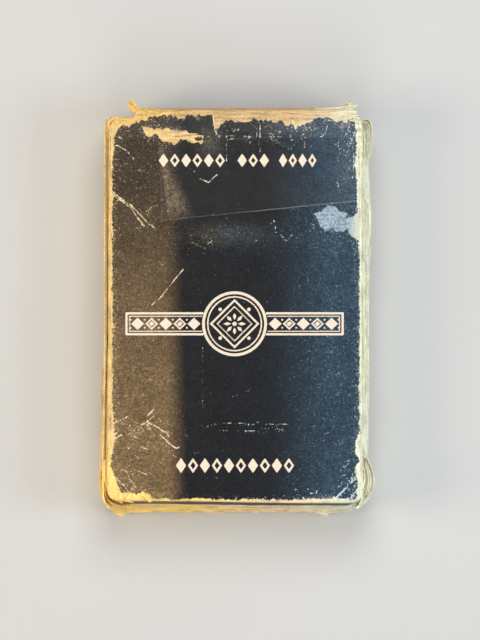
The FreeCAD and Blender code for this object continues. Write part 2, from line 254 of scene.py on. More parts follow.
def closed_sheet(name, outer, inner, materials, step=1, fields=None):
    """A closed thin sheet between two skins of the same grid. The inner skin may be coarser, by step.
    Materials are for the outer skin, the inner skin and the rim."""
    rows, cols = outer.shape[:2]
    outer_index = np.arange(rows * cols).reshape(rows, cols)
    keep = np.zeros((rows, cols), bool)
    keep[::step, ::step] = True
    keep[[0, -1], :] = True
    keep[:, [0, -1]] = True
    inner_index = np.full((rows, cols), -1)
    inner_index[keep] = np.arange(keep.sum()) + rows * cols
    vertices = np.vstack([outer.reshape(-1, 3), inner[keep]])
    left = outer_index[:, :-1]
    right = outer_index[:, 1:]
    faces = np.stack([left[:-1], right[:-1], right[1:], left[1:]], axis=-1).reshape(-1, 4).tolist()
    kinds = [0] * len(faces)
    for i in range(0, rows - 1, step):
        for j in range(0, cols - 1, step):
            loop = cell_loop(i, j, step, rows, cols)
            faces.append([inner_index[a, b] for a, b in reversed(loop)])
            kinds.append(1)
    rim = rim_faces(outer_index, inner_index)
    kinds += [2] * len(rim)
    faces = facing_out(faces + rim, outer, inner)
    full = {}
    for field, values in (fields or {}).items():
        values = np.asarray(values, float).reshape(rows, cols)
        full[field] = np.concatenate([values.ravel(), values[keep]])
    return add_mesh(name, vertices, faces, materials, kinds, np.array(kinds) == 2, full)


def skins(grid, thickness, axis, sign, at=(9, 9)):
    """The two skins of a sheet whose outer skin is the grid. At one place of the grid, the inner skin lies
    on the side that the sign gives along an axis."""
    across = np.gradient(grid, axis=1)
    along = np.gradient(grid, axis=0)
    normal = np.cross(across, along)
    normal /= np.linalg.norm(normal, axis=2, keepdims=True) + 1e-12
    inner = grid - normal * thickness
    if (inner[at][axis] - grid[at][axis]) * sign < 0:
        inner = 2 * grid - inner
    return grid, inner


def tube(points, radius):
    """Points and faces of a thin strand, tapered to its tip and closed."""
    sides = 4
    spine = smooth_path(points, 3 * len(points) + 2)
    tangent = np.gradient(spine, axis=0)
    tangent /= np.linalg.norm(tangent, axis=1, keepdims=True) + 1e-12
    side = np.cross(tangent, (0.31, 0.22, 0.92))
    side /= np.linalg.norm(side, axis=1, keepdims=True) + 1e-12
    other = np.cross(tangent, side)
    taper = np.linspace(1.0, 0.35, len(spine)) * radius
    rings = []
    for k in range(sides):
        angle = 2 * math.pi * k / sides
        rings.append(spine + (side * math.cos(angle) + other * math.sin(angle)) * taper[:, None])
    vertices = np.stack(rings, axis=1).reshape(-1, 3)
    faces = []
    for i in range(len(spine) - 1):
        for k in range(sides):
            a = i * sides + k
            b = i * sides + (k + 1) % sides
            faces.append([a, b, b + sides, a + sides])
    faces.append([3, 2, 1, 0])
    last = (len(spine) - 1) * sides
    faces.append([last, last + 1, last + 2, last + 3])
    return vertices, faces


def join_parts(parts):
    """One list of points and faces from several."""
    vertices = []
    faces = []
    count = 0
    for points, polygons in parts:
        vertices.append(points)
        faces += [[v + count for v in f] for f in polygons]
        count += len(points)
    return np.vstack(vertices), faces


# ---------------------------------------------------------------- materials

class Shader:
    """A small helper that builds one material's nodes."""

    def __init__(self, name):
        self.material = bpy.data.materials.new(name)
        self.material.use_nodes = True
        self.nodes = self.material.node_tree.nodes
        self.links = self.material.node_tree.links
        self.nodes.clear()
        self.surface = self.nodes.new("ShaderNodeBsdfPrincipled")
        output = self.nodes.new("ShaderNodeOutputMaterial")
        self.links.new(self.surface.outputs[0], output.inputs[0])
        coordinates = self.node("TexCoord", {}, {}, "Object")
        self.place = self.node("VectorMath", {"operation": "SCALE"}, {0: coordinates, "Scale": 1.0 / MM})
        separate = self.nodes.new("ShaderNodeSeparateXYZ")
        self.links.new(self.place, separate.inputs[0])
        self.x, self.y, self.z = separate.outputs

    def feed(self, socket, value):
        if isinstance(value, bpy.types.NodeSocket):
            self.links.new(value, socket)
        elif hasattr(value, "__len__") and len(value) == 3 and len(socket.default_value) == 4:
            socket.default_value = (*value, 1.0)
        else:
            socket.default_value = value

    def node(self, kind, settings, inputs, output=0):
        """One output of a new node with these settings and inputs."""
        node = self.nodes.new("ShaderNode" + kind)
        for name, value in settings.items():
            setattr(node, name, value)
        for socket, value in inputs.items():
            self.feed(node.inputs[socket], value)
        return node.outputs[output]

    def maths(self, operation, *values, clamp=False):
        settings = {"operation": operation, "use_clamp": clamp}
        return self.node("Math", settings, dict(enumerate(values)))

    def times(self, a, b, clamp=False):
        return self.maths("MULTIPLY", a, b, clamp=clamp)

    def plus(self, a, b, clamp=False):
        return self.maths("ADD", a, b, clamp=clamp)

    def minus(self, a, b):
        return self.maths("SUBTRACT", a, b)

    def largest(self, a, b):
        return self.maths("MAXIMUM", a, b)

    def scale_add(self, value, factor, offset, clamp=False):
        return self.maths("MULTIPLY_ADD", value, factor, offset, clamp=clamp)

    def above(self, value, edge, sharpness):
        """0 below the edge and 1 above it, over a width of 1/sharpness."""
        return self.scale_add(value, sharpness, 0.5 - edge * sharpness, clamp=True)

    def ramp(self, value, low, high):
        """0 at low and 1 at high."""
        settings = {"interpolation_type": "SMOOTHSTEP"}
        return self.node("MapRange", settings, {0: value, 1: low, 2: high})

    def mix(self, factor, a, b):
        """Colour a at factor 0 and colour b at 1: a Mix node's colour sockets are 6 and 7."""
        return self.node("Mix", {"data_type": "RGBA"}, {0: factor, 6: a, 7: b}, 2)

    def tint(self, colour, factor):
        """The colour times a number."""
        return self.node("VectorMath", {"operation": "SCALE"}, {0: colour, "Scale": factor})

    def noise(self, scale, detail=3.0, roughness=0.55, stretch=None):
        """Noise with this many lumps per mm."""
        vector = self.place
        if stretch:
            vector = self.node("VectorMath", {"operation": "MULTIPLY"}, {0: vector, 1: stretch})
        inputs = {"Vector": vector, "Scale": scale, "Detail": detail, "Roughness": roughness}
        return self.node("TexNoise", {}, inputs)

    def field(self, name):
        """A named number of the mesh's points."""
        return self.node("Attribute", {"attribute_name": name}, {}, "Fac")

    def bump(self, height, distance, strength):
        inputs = {"Strength": strength, "Distance": distance * MM, "Height": height}
        self.feed(self.surface.inputs["Normal"], self.node("Bump", {}, inputs))

    def finish(self, colour, roughness, **constants):
        self.feed(self.surface.inputs["Base Color"], colour)
        self.feed(self.surface.inputs["Roughness"], roughness)
        for name, value in constants.items():
            self.surface.inputs[name.replace("_", " ")].default_value = value
        return self.material


GOLD_BOARD = (0.72, 0.50, 0.20)
CORNER_GOLD = (0.98, 0.66, 0.19)
MIDDLE_BOARD = (0.82, 0.63, 0.38)
FOLD_BOARD = (0.54, 0.35, 0.145)
FOLD_GOLD = (0.80, 0.50, 0.15)
PALE_BOARD = (0.76, 0.76, 0.57)
LOW_BOARD = (0.66, 0.56, 0.38)
PALE_PLY = (0.92, 0.80, 0.60)
# brown for the stains and for the painted shade in the gap by the left wall
BROWN_STAIN_AND_SHADE = (0.30, 0.14, 0.045)


def board_colour(s, contrast=1.0):
    """Bare board: golden on the handled left side, brown over the fold, pale cream on the right, with
    streaks along the nearest edge, brown stains and fibres, and a line of painted brown shade in the gap
    between the face and the left wall."""
    leftness = s.ramp(s.x, 12.0, -14.0)
    rightness = s.ramp(s.x, 12.0, 29.0)
    topness = s.ramp(s.y, 42.5, 45.5)
    gold = s.mix(s.ramp(s.y, -28.0, -43.0), GOLD_BOARD, CORNER_GOLD)
    colour = s.mix(rightness, s.mix(leftness, MIDDLE_BOARD, gold), PALE_BOARD)
    brown_share = s.times(topness, s.scale_add(rightness, -0.65, 0.85))
    colour = s.mix(brown_share, colour, s.mix(s.ramp(s.x, -12.0, -20.0), FOLD_BOARD, FOLD_GOLD))
    lowness = s.ramp(s.z, 15.0, 5.0)
    lip = s.ramp(s.y, -45.8, -47.2)
    colour = s.mix(s.times(lowness, s.scale_add(lip, -0.7, 0.7)), colour, LOW_BOARD)
    cloud = s.noise(0.35, 4.0, 0.6)
    along = s.noise(1.6, 4.0, 0.75, stretch=(1.0, 0.13, 1.0))
    across = s.noise(1.6, 4.0, 0.75, stretch=(0.13, 1.0, 1.0))
    grain = s.noise(3.2, 4.0, 0.7)
    upper = s.times(s.ramp(s.y, 37.0, 39.0), s.ramp(s.x, -28.4, -27.0))
    ends = s.plus(upper, s.ramp(s.y, -44.6, -46.4), clamp=True)
    turned = s.times(ends, s.minus(across, along))
    streak = s.plus(along, turned)
    colour = s.tint(colour, s.scale_add(grain, 1.1, 0.48))
    calm = s.times(lowness, s.scale_add(lip, -1.0, 1.0))
    depth = s.scale_add(calm, -1.2 * contrast, 1.8 * contrast)
    colour = s.tint(colour, s.plus(s.times(s.minus(streak, 0.5), depth), 1.05))
    colour = s.tint(colour, s.scale_add(cloud, 0.7, 0.65))
    colour = s.mix(s.above(grain, 0.62, 8.0), colour, PALE_PLY)
    stain_and_gap_shade = s.times(s.ramp(streak, 0.44, 0.34), s.above(cloud, 0.44, 6.0))
    # painted shade: a brown line in the gap between the face and the left wall, from z 15 mm up
    left_gap_shade = s.times(s.ramp(s.x, -30.05, -30.3), s.ramp(s.x, -30.95, -30.65))
    left_gap_shade = s.times(left_gap_shade, s.scale_add(streak, 2.2, -0.45), clamp=True)
    stain_and_gap_shade = s.largest(stain_and_gap_shade, s.times(left_gap_shade, s.ramp(s.z, 15.0, 16.0)))
    stain_and_gap_shade = s.times(stain_and_gap_shade, s.scale_add(calm, -0.6 * contrast, 0.65 * contrast))
    return s.mix(stain_and_gap_shade, colour, BROWN_STAIN_AND_SHADE), grain, streak


def bare_board_material(name="bare_board_fibrous", shade=1.0, contrast=1.0):
    s = Shader(name)
    colour, grain, streak = board_colour(s, contrast)
    # painted shade: a shade below 1 darkens the whole board colour
    colour = s.tint(colour, shade)
    height = s.plus(grain, streak)
    s.bump(height, 0.10, 0.8)
    roughness = s.scale_add(grain, 0.2, 0.72)
    return s.finish(colour, roughness, Specular_IOR_Level=0.25)


PRINT_DARK = (0.0085, 0.0092, 0.0112)
PRINT_COOL_REFLECTION = (0.024, 0.050, 0.080)
PRINT_WARM_REFLECTION = (0.170, 0.108, 0.048)
SPECK_WARM = (0.52, 0.40, 0.24)
SPECK_COOL = (0.30, 0.40, 0.47)
SCORE_WARM = (0.88, 0.70, 0.42)
SCORE_COOL = (0.60, 0.70, 0.76)
MARK_CREAM = (0.87, 0.74, 0.59)
TORN_BLUE = (0.10, 0.17, 0.24)
TORN_WHITE = (0.50, 0.61, 0.68)


def printed_board_material():
    """Dark navy print that is rubbed, scratched and chipped down to the board, browner on the left where a
    painted warm reflection lies and bluer to the right as a painted cool reflection. The fields worn, mark
    and torn are 1 at their edge and more inside it. score, dust, smear and warm run from 0 to 1."""
    s = Shader("printed_board_worn")
    fine = s.noise(4.5, 3.0, 0.65)
    grit = s.noise(1.9, 4.0, 0.85)
    speck = s.noise(2.3, 3.0, 0.7)
    lump = s.noise(1.1, 3.0, 0.6)
    cloud = s.noise(0.16, 3.0, 0.55)
    worn = s.field("worn")
    score = s.field("score")
    dust = s.field("dust")
    warm = s.field("warm")
    # painted cool reflection: the print turns bluer from x 5 mm to x 27 mm
    painted_cool_reflection = s.ramp(s.x, 5.0, 27.0)
    left = s.ramp(s.x, 2.0, -10.0)
    # the print itself, with a painted warm reflection browning it on the left and a painted cool reflection
    # turning it bluer to the right
    ink = s.mix(painted_cool_reflection, PRINT_DARK, PRINT_COOL_REFLECTION)
    ink = s.mix(warm, ink, PRINT_WARM_REFLECTION)
    ink = s.tint(ink, s.largest(s.scale_add(grit, 4.2, -1.1), 0.3))
    ink = s.tint(ink, s.scale_add(cloud, 0.9, 0.55))
    # paper showing through as fine specks, thicker where it is dusty or near a worn edge
    speck_colour = s.mix(left, SPECK_COOL, SPECK_WARM)
    nearness = s.times(worn, 0.10, clamp=True)
    threshold = s.minus(0.69, s.plus(nearness, s.times(dust, 0.13)))
    specks = s.times(s.minus(speck, threshold), 8.0, clamp=True)
    colour = s.mix(s.times(specks, 0.62), ink, speck_colour)
    # haze of dust and adhesive
    haze = s.times(s.field("smear"), s.scale_add(grit, 2.4, -0.85), clamp=True)
    colour = s.mix(s.times(haze, 0.7), colour, speck_colour)
    # printed marks, with worn edges and pinholes
    mark = s.plus(s.field("mark"), s.scale_add(fine, 0.16, -0.08))
    mark = s.above(mark, 1.0, 11.0)
    pinholes = s.above(speck, 0.66, 12.0)
    mark = s.times(mark, s.scale_add(pinholes, -0.6, 1.0))
    colour = s.mix(mark, colour, s.tint(MARK_CREAM, s.scale_add(fine, 0.4, 0.8)))
    # bare board along the folds and in the chips
    board = board_colour(s)[0]
    ragged = s.scale_add(lump, 0.22, s.scale_add(speck, 0.50, s.scale_add(fine, 0.30, -0.51)))
    bare = s.above(s.plus(worn, ragged), 1.0, 16.0)
    colour = s.mix(bare, colour, board)
    # the torn patch shows the pale middle ply
    torn = s.plus(s.field("torn"), s.scale_add(lump, 0.45, s.scale_add(speck, 0.9, -0.675)))
    torn = s.above(torn, 1.0, 9.0)
    ply = s.mix(s.above(grit, 0.50, 4.0), TORN_BLUE, TORN_WHITE)
    ply = s.mix(s.times(s.ramp(s.x, 26.5, 30.0), 0.8), ply, PALE_BOARD)
    colour = s.mix(torn, colour, ply)
    # scratches
    scratch = s.above(s.scale_add(speck, 1.7, s.minus(score, 0.85)), 0.50, 4.0)
    scratch = s.times(scratch, s.above(score, 0.15, 10.0))
    fold_zone = s.times(s.ramp(s.y, 36.0, 40.0), s.ramp(s.x, 25.5, 22.5))
    creamy = s.largest(left, s.times(fold_zone, s.above(lump, 0.47, 6.0)))
    colour = s.mix(scratch, colour, s.mix(creamy, SCORE_COOL, SCORE_WARM))
    paper = s.largest(s.largest(bare, torn), scratch)
    height = s.plus(s.scale_add(paper, -0.5, 0.5), s.times(fine, s.scale_add(paper, 0.9, 0.35)))
    s.bump(height, 0.07, 0.8)
    roughness = s.scale_add(paper, 0.36, s.scale_add(lump, 0.2, 0.34))
    return s.finish(colour, roughness, Specular_IOR_Level=0.24)


def tape_material():
    s = Shader("clear_tape_yellowed")
    wrinkle = s.noise(0.7, 3.0, 0.6, stretch=(1.0, 0.35, 1.0))
    grime = s.noise(2.4, 4.0, 0.7)
    dust = s.field("dust")
    alpha = s.scale_add(dust, s.scale_add(grime, 2.0, -0.5), 0.005, clamp=True)
    s.feed(s.surface.inputs["Alpha"], alpha)
    colour = s.mix(grime, (0.78, 0.66, 0.50), (0.70, 0.62, 0.58))
    s.bump(wrinkle, 0.10, 0.4)
    s.material.surface_render_method = "BLENDED"
    return s.finish(colour, s.scale_add(grime, 0.25, 0.12), Specular_IOR_Level=0.6)


def card_edge_material():
    s = Shader("card_stock_edges")
    layers = s.noise(2.2, 3.0, 0.6, stretch=(0.08, 0.08, 3.0))
    grain = s.noise(5.0, 3.0, 0.6)
    colour = s.mix(layers, (0.80, 0.76, 0.66), (0.55, 0.47, 0.36))
    colour = s.tint(colour, s.scale_add(grain, 0.3, 0.85))
    s.bump(layers, 0.05, 0.6)
    return s.finish(colour, s.scale_add(grain, 0.2, 0.6), Specular_IOR_Level=0.3)


def card_back_material():
    """A plain lattice of small diamonds inside a white margin."""
    s = Shader("card_back_lattice")
    grain = s.noise(4.0, 3.0, 0.6)
    scuff = s.noise(0.6, 4.0, 0.65)
    rising = s.maths("PINGPONG", s.plus(s.x, s.y), 1.6)
    falling = s.maths("PINGPONG", s.minus(s.x, s.y), 1.6)
    lines = s.maths("MINIMUM", rising, falling)
    lattice = s.above(lines, 0.32, 9.0)
    dots = s.above(s.maths("MINIMUM", s.minus(1.6, rising), s.minus(1.6, falling)), 0.45, 9.0)
    red = s.mix(scuff, (0.30, 0.045, 0.035), (0.38, 0.09, 0.06))
    white = s.mix(grain, (0.80, 0.77, 0.69), (0.70, 0.65, 0.54))
    colour = s.mix(lattice, white, s.mix(dots, white, red))
    margin = s.above(s.field("margin"), 1.0, 9.0)
    colour = s.mix(margin, white, colour)
    s.bump(grain, 0.03, 0.4)
    return s.finish(colour, s.scale_add(scuff, 0.2, 0.35), Specular_IOR_Level=0.4)


PRINTED = printed_board_material()
BARE = bare_board_material()
# BARE_SHADED is the bare board darkened to 0.72 as painted shade, with calmer streaks, for inner skins and
# hidden boards
BARE_SHADED = bare_board_material("bare_board_inside_painted_shade", 0.72, 0.3)
TAPE = tape_material()
CARD_EDGE = card_edge_material()
CARD_BACK = card_back_material()


# ---------------------------------------------------------------- the face: marks, wear and scratches

# heights of the two rows of marks, and each group: first x, last x, number of marks
TOP_ROW = (33.8, 36.9)
TOP_GROUPS = ((-18.2, -2.0, 6), (0.6, 8.5, 3), (10.5, 19.8, 4))
BOTTOM_ROW = (-39.1, -35.7)
BOTTOM_GROUPS = ((-14.1, 14.5, 10),)
EMBLEM_CENTRE = (0.1, -3.6)
EMBLEM_HALF = (26.0, 2.75)
ROSETTE_RADIUS = 7.4

# outlines in plan
TORN_PATCH = (
    (19.0, 22.5), (20.9, 23.2), (22.4, 24.6), (24.5, 24.2), (25.3, 23.1), (27.2, 22.7), (26.5, 21.6),
    (28.7, 22.0), (29.4, 23.4), (31.0, 23.4), (31.0, 16.3), (29.4, 16.3), (28.7, 16.8), (27.2, 17.8),
    (27.0, 19.2), (26.0, 18.5), (24.3, 18.3), (23.5, 19.0), (21.6, 18.5), (20.6, 19.7), (20.4, 20.7))
TORN_STRIP = (
    (-21.7, 43.4), (-14.0, 42.6), (-7.4, 41.5), (-7.0, 39.3), (-9.7, 39.7), (-12.9, 40.3), (-14.6, 39.3),
    (-17.5, 40.1), (-18.6, 41.6), (-20.1, 40.5), (-21.8, 42.2))
LEFT_CORNER = (
    (-31.0, -38.5), (-29.5, -39.5), (-27.8, -41.9), (-26.9, -44.0), (-23.4, -44.2), (-20.7, -43.9),
    (-20.0, -44.6), (-19.6, -47.0), (-31.0, -47.0))
BARE_TRIANGLE = ((-4.3, 46.4), (-4.1, 42.8), (-1.9, 46.0))
TOP_EDGE = (
    (-30.5, 40.5), (-27.8, 42.2), (-26.3, 44.4), (-25.1, 43.1), (-23.7, 44.5), (-21.8, 44.9), (-19.4, 45.6),
    (-18.8, 46.3), (-12.0, 45.9), (-5.3, 46.3), (-4.6, 43.0), (-3.2, 44.6), (-1.4, 45.3), (0.0, 45.0),
    (5.9, 45.1), (7.5, 45.0), (11.4, 44.5), (14.6, 43.0), (16.3, 43.8), (19.2, 45.2), (22.1, 45.7),
    (24.5, 45.2), (26.7, 44.2), (28.5, 45.0), (30.5, 46.2))
# place along an edge, and how wide the bare board is there
LEFT_WEAR = (
    (-46, 3.5), (-42, 2.2), (-38, 0.6), (-36, 0.5), (-31, 1.7), (-27, 1.2), (-20, 0.9), (0, 1.0), (20, 1.0),
    (36, 1.0), (41, 1.6), (44, 3.0))
BOTTOM_WEAR = (
    (-30, 1.5), (-20, 0.4), (-15, 0.1), (-10, 0.4), (-5, 0.25), (0, 0.0), (10, -0.05), (20, 0.2), (24, 0.6),
    (26, 0.4), (28, 0.1), (30, 0.6))
RIGHT_WEAR = (
    (-46, 0.8), (-41, 0.5), (-38.5, 1.2), (-36, 0.3), (-34.5, 1.1), (-31.5, 1.0), (-29.5, 0.2), (0, 0.1),
    (14, 0.2), (25, 0.5), (31, 0.7), (34, 1.2), (38, 0.8), (42, 1.0), (46, 1.3))
# width, strength, path
SCRATCHES = (
    (0.20, 1.0, ((-28.2, 39.0), (-26.3, 38.0), (-25.0, 37.1), (-23.9, 35.5))),
    (0.20, 1.0, ((-29.0, 27.8), (-24.5, 24.6), (-21.1, 21.1), (-19.0, 19.2))),
    (0.20, 0.9, ((-28.9, 27.3), (-24.7, 24.0), (-22.2, 20.5), (-21.4, 19.7))),
    (0.16, 0.8, ((-10.2, 15.9), (-6.6, 14.2))),
    (0.14, 0.6, ((-6.6, 17.3), (-4.9, 16.5), (-6.2, 15.5))),
    (0.18, 0.9, ((-12.1, 9.4), (-14.3, 6.8), (-17.5, 2.7), (-19.7, 0.8))),
    (0.20, 0.9, ((-8.7, 31.2), (-6.1, 30.1), (-4.0, 32.0))),
    (0.12, 0.75, ((8.7, 20.2), (9.5, 21.2), (10.0, 18.5), (11.2, 17.3), (12.3, 16.2), (13.1, 16.5),
                  (13.6, 17.5), (14.5, 17.6), (14.7, 16.7))),
    (0.20, 1.0, ((-22.3, -27.8), (-20.7, -26.9), (-19.1, -25.6))),
    (0.20, 1.0, ((-20.7, -25.6), (-19.1, -24.0))),
    (0.24, 1.0, ((-20.7, -26.9), (-18.0, -28.5), (-16.1, -29.7), (-15.4, -30.4))),
    (0.24, 1.0, ((-17.5, -30.1), (-15.4, -32.2), (-13.9, -33.3), (-13.2, -33.1))),
    (0.18, 0.9, ((-28.9, -27.4), (-25.5, -25.8))),
    (0.16, 0.8, ((-24.6, -26.5), (-22.8, -27.4))),
    (0.20, 1.0, ((-28.7, -30.1), (-27.3, -29.2))),
    (0.20, 1.0, ((-28.5, -31.0), (-26.6, -29.9))),
    (0.22, 0.9, ((-21.8, -33.1), (-20.0, -33.8))),
    (0.16, 0.9, ((-23.7, -38.3), (-20.7, -39.7))),
    (0.14, 0.8, ((-24.3, -34.5), (-22.8, -35.6))),
    (0.22, 0.9, ((-29.1, -39.7), (-26.9, -41.5), (-25.3, -43.6))),
    (0.16, 0.8, ((-14.5, -34.9), (-13.6, -35.6))),
    (0.14, 0.45, ((-7.6, -8.4), (-7.5, -24.0))),
    (0.14, 0.4, ((-19.6, -8.0), (-20.0, -11.4))),
    (0.16, 0.55, ((-6.5, -28.1), (-3.0, -27.4), (1.4, -27.3), (6.0, -27.7), (13.0, -27.6))),
    (0.18, 0.75, ((2.6, -29.1), (4.9, -29.1))),
    (0.14, 0.5, ((-1.5, -20.8), (3.4, -20.7))),
    (0.24, 0.9, ((29.9, -39.7), (28.0, -41.6))),
    (0.20, 1.0, ((30.2, -42.1), (28.2, -44.6), (27.7, -45.3))),
    (0.24, 1.0, ((26.7, -42.8), (24.3, -45.0))),
    (0.18, 0.7, ((29.6, 44.0), (28.0, 40.0), (28.6, 36.0), (28.2, 31.0))),
    (0.14, 0.6, ((27.2, 43.5), (26.8, 37.0))),
    (0.13, 0.75, ((-19.9, 45.2), (-17.8, 43.8), (-15.5, 42.7))),
    (0.24, 0.9, ((-5.1, 47.0), (-4.9, 44.8), (-4.6, 42.6), (-3.6, 41.0))),
    (0.18, 0.6, ((-1.7, 43.0), (-1.7, 35.0))),
    (0.18, 0.72, ((6.0, 45.2), (6.3, 43.0), (6.0, 40.5), (6.2, 37.0))),
    (0.15, 0.62, ((8.6, 40.6), (10.8, 39.2), (13.4, 37.9), (14.4, 39.0), (15.9, 40.5), (18.6, 41.0),
                  (21.2, 41.1))),
    (0.16, 0.75, ((21.7, 45.4), (22.2, 43.6), (21.6, 41.4), (20.6, 41.0))),
    (0.15, 0.6, ((-6.4, 41.0), (-1.2, 41.2), (5.9, 40.9), (11.0, 40.9))),
    (0.16, 0.6, ((-1.0, 40.5), (5.6, 40.6))),
    (0.14, 0.5, ((7.4, 43.0), (12.0, 41.8), (15.0, 42.5))),
    (0.14, 0.6, ((15.8, 40.6), (17.0, 43.5))),
)
# x, y, size
CHIPS = (
    (-20.6, 23.4, 0.45), (-23.1, 19.2, 0.35), (-14.1, 16.6, 0.3), (-14.0, 12.9, 0.3), (-14.4, 11.4, 0.25),
    (10.3, -28.7, 0.6), (11.0, -29.0, 0.4), (25.5, -32.0, 0.3), (27.2, -36.3, 0.45), (-4.5, -40.3, 0.25),
    (-9.1, -34.5, 0.25), (-24.2, -29.2, 0.5), (-23.8, -30.4, 0.45), (-24.8, -28.8, 0.3), (-20.8, -27.9, 0.5),
    (-20.2, -28.6, 0.4), (-14.5, -13.7, 0.25), (-14.9, -14.6, 0.25), (-14.8, -16.9, 0.3), (-28.7, -4.4, 0.5),
    (-22.0, -33.1, 0.4), (19.4, -5.8, 0.25), (20.3, -18.3, 0.3))
FLECK_CLUSTERS = (
    # centre x, y, spread x, y, count, size in mm
    (-24.2, -29.4, 1.0, 1.3, 22, 0.42), (-20.6, -28.1, 0.9, 0.7, 14, 0.44),
    (-17.2, -29.6, 1.2, 0.9, 10, 0.34), (-21.8, -32.8, 1.6, 0.8, 10, 0.34),
    (-27.5, -41.0, 1.4, 1.6, 26, 0.40), (-26.0, -43.5, 2.6, 0.7, 18, 0.36),
    (10.2, -28.7, 0.8, 0.3, 8, 0.46), (3.8, -29.1, 0.9, 0.15, 7, 0.36), (0.0, 0.0, 20.0, 32.0, 26, 0.18),
    (-22.0, 0.0, 5.0, 26.0, 22, 0.20), (24.0, -8.0, 4.0, 22.0, 22, 0.18), (-28.6, -4.5, 0.5, 0.6, 8, 0.36),
    (22.0, -45.0, 6.0, 0.35, 20, 0.34), (28.3, -42.0, 1.3, 2.4, 22, 0.28), (28.6, 39.0, 0.8, 4.5, 22, 0.30),
    (23.0, 20.0, 3.0, 2.0, 24, 0.26), (-20.4, 22.6, 0.5, 0.9, 6, 0.36), (-27.0, 42.5, 1.4, 1.0, 14, 0.34),
    (-28.8, 0.0, 0.4, 30.0, 70, 0.28), (29.5, -5.0, 0.3, 28.0, 60, 0.26), (0.0, -45.3, 18.0, 0.3, 50, 0.30),
    (-28.4, -20.0, 0.7, 14.0, 26, 0.26))
SCUFFS = (
    # centre x, y, spread x, y, count, length, direction, its spread, strength
    (0.0, 0.0, 18.0, 28.0, 130, 1.1, 40.0, 60.0, 0.40), (-22.0, -30.0, 4.5, 4.0, 34, 1.6, -38.0, 30.0, 0.8),
    (-26.0, -41.0, 2.2, 2.6, 26, 1.5, -45.0, 25.0, 0.85), (27.6, -42.0, 1.8, 2.2, 34, 1.6, 48.0, 25.0, 0.85),
    (27.4, 39.0, 1.6, 4.5, 80, 1.3, 60.0, 50.0, 0.74), (17.0, 42.5, 5.5, 1.8, 70, 1.7, 20.0, 50.0, 0.75),
    (3.0, 41.5, 4.0, 2.0, 26, 1.8, 5.0, 25.0, 0.6), (-13.5, 34.0, 3.2, 5.0, 40, 1.0, 80.0, 30.0, 0.5),
    (20.0, -44.4, 6.0, 0.7, 26, 1.1, 60.0, 40.0, 0.8), (5.0, -28.2, 6.5, 0.7, 34, 1.3, 2.0, 12.0, 0.6),
    (-22.0, 24.0, 4.0, 5.0, 22, 1.5, -45.0, 20.0, 0.6), (-8.0, 16.0, 3.0, 1.5, 14, 1.3, -25.0, 25.0, 0.6),
    (24.0, -15.0, 4.0, 20.0, 70, 0.7, 45.0, 60.0, 0.38), (-27.8, 36.0, 1.0, 5.0, 20, 1.2, -30.0, 25.0, 0.7))
# height, width, path
CREASES = (
    (-0.16, 0.5, ((-19.9, 45.2), (-15.5, 42.7))),
    (0.12, 0.45, ((-4.5, 47.0), (-4.4, 36.0))),
    (-0.10, 0.6, ((-1.7, 43.0), (-1.7, 33.0))),
    (0.14, 0.5, ((6.1, 46.0), (6.1, 35.0))),
    (0.16, 0.55, ((9.0, 40.1), (13.6, 37.9), (15.8, 40.6), (21.2, 41.1), (26.0, 40.6))),
    (-0.10, 0.5, ((21.9, 45.4), (21.9, 38.0))),
    (-0.07, 0.8, ((-1.2, 41.2), (5.9, 40.9))),
    (-0.06, 0.5, ((-28.2, 39.0), (-23.9, 35.5))),
    (-0.05, 0.4, ((-22.3, -27.8), (-18.0, -28.5), (-13.2, -33.1))),
)


def lozenge(x, y, cx, cy, half_width, half_height):
    """Distance in mm to a lozenge's outline, positive inside it."""
    reach = half_width * half_height / math.hypot(half_width, half_height)
    return (1.0 - np.abs(x - cx) / half_width - np.abs(y - cy) / half_height) * reach


def outline(distance, stroke):
    """The line of a shape's outline, drawn inside it."""
    return np.minimum(distance, stroke - distance)


def row_of_marks(x, y, groups, low, high):
    """Lozenges in a row, solid and hollow in turn."""
    middle = (low + high) / 2
    best = np.full(np.shape(x), -9.0)
    for start, end, count in groups:
        pitch = (end - start) / count
        for k in range(count):
            cx = start + pitch * (k + 0.5)
            shape = lozenge(x, y, cx, middle, pitch * 0.43, (high - low) / 2 + 0.1)
            if k % 2:
                shape = outline(shape, 0.50)
            best = np.maximum(best, shape)
    return best


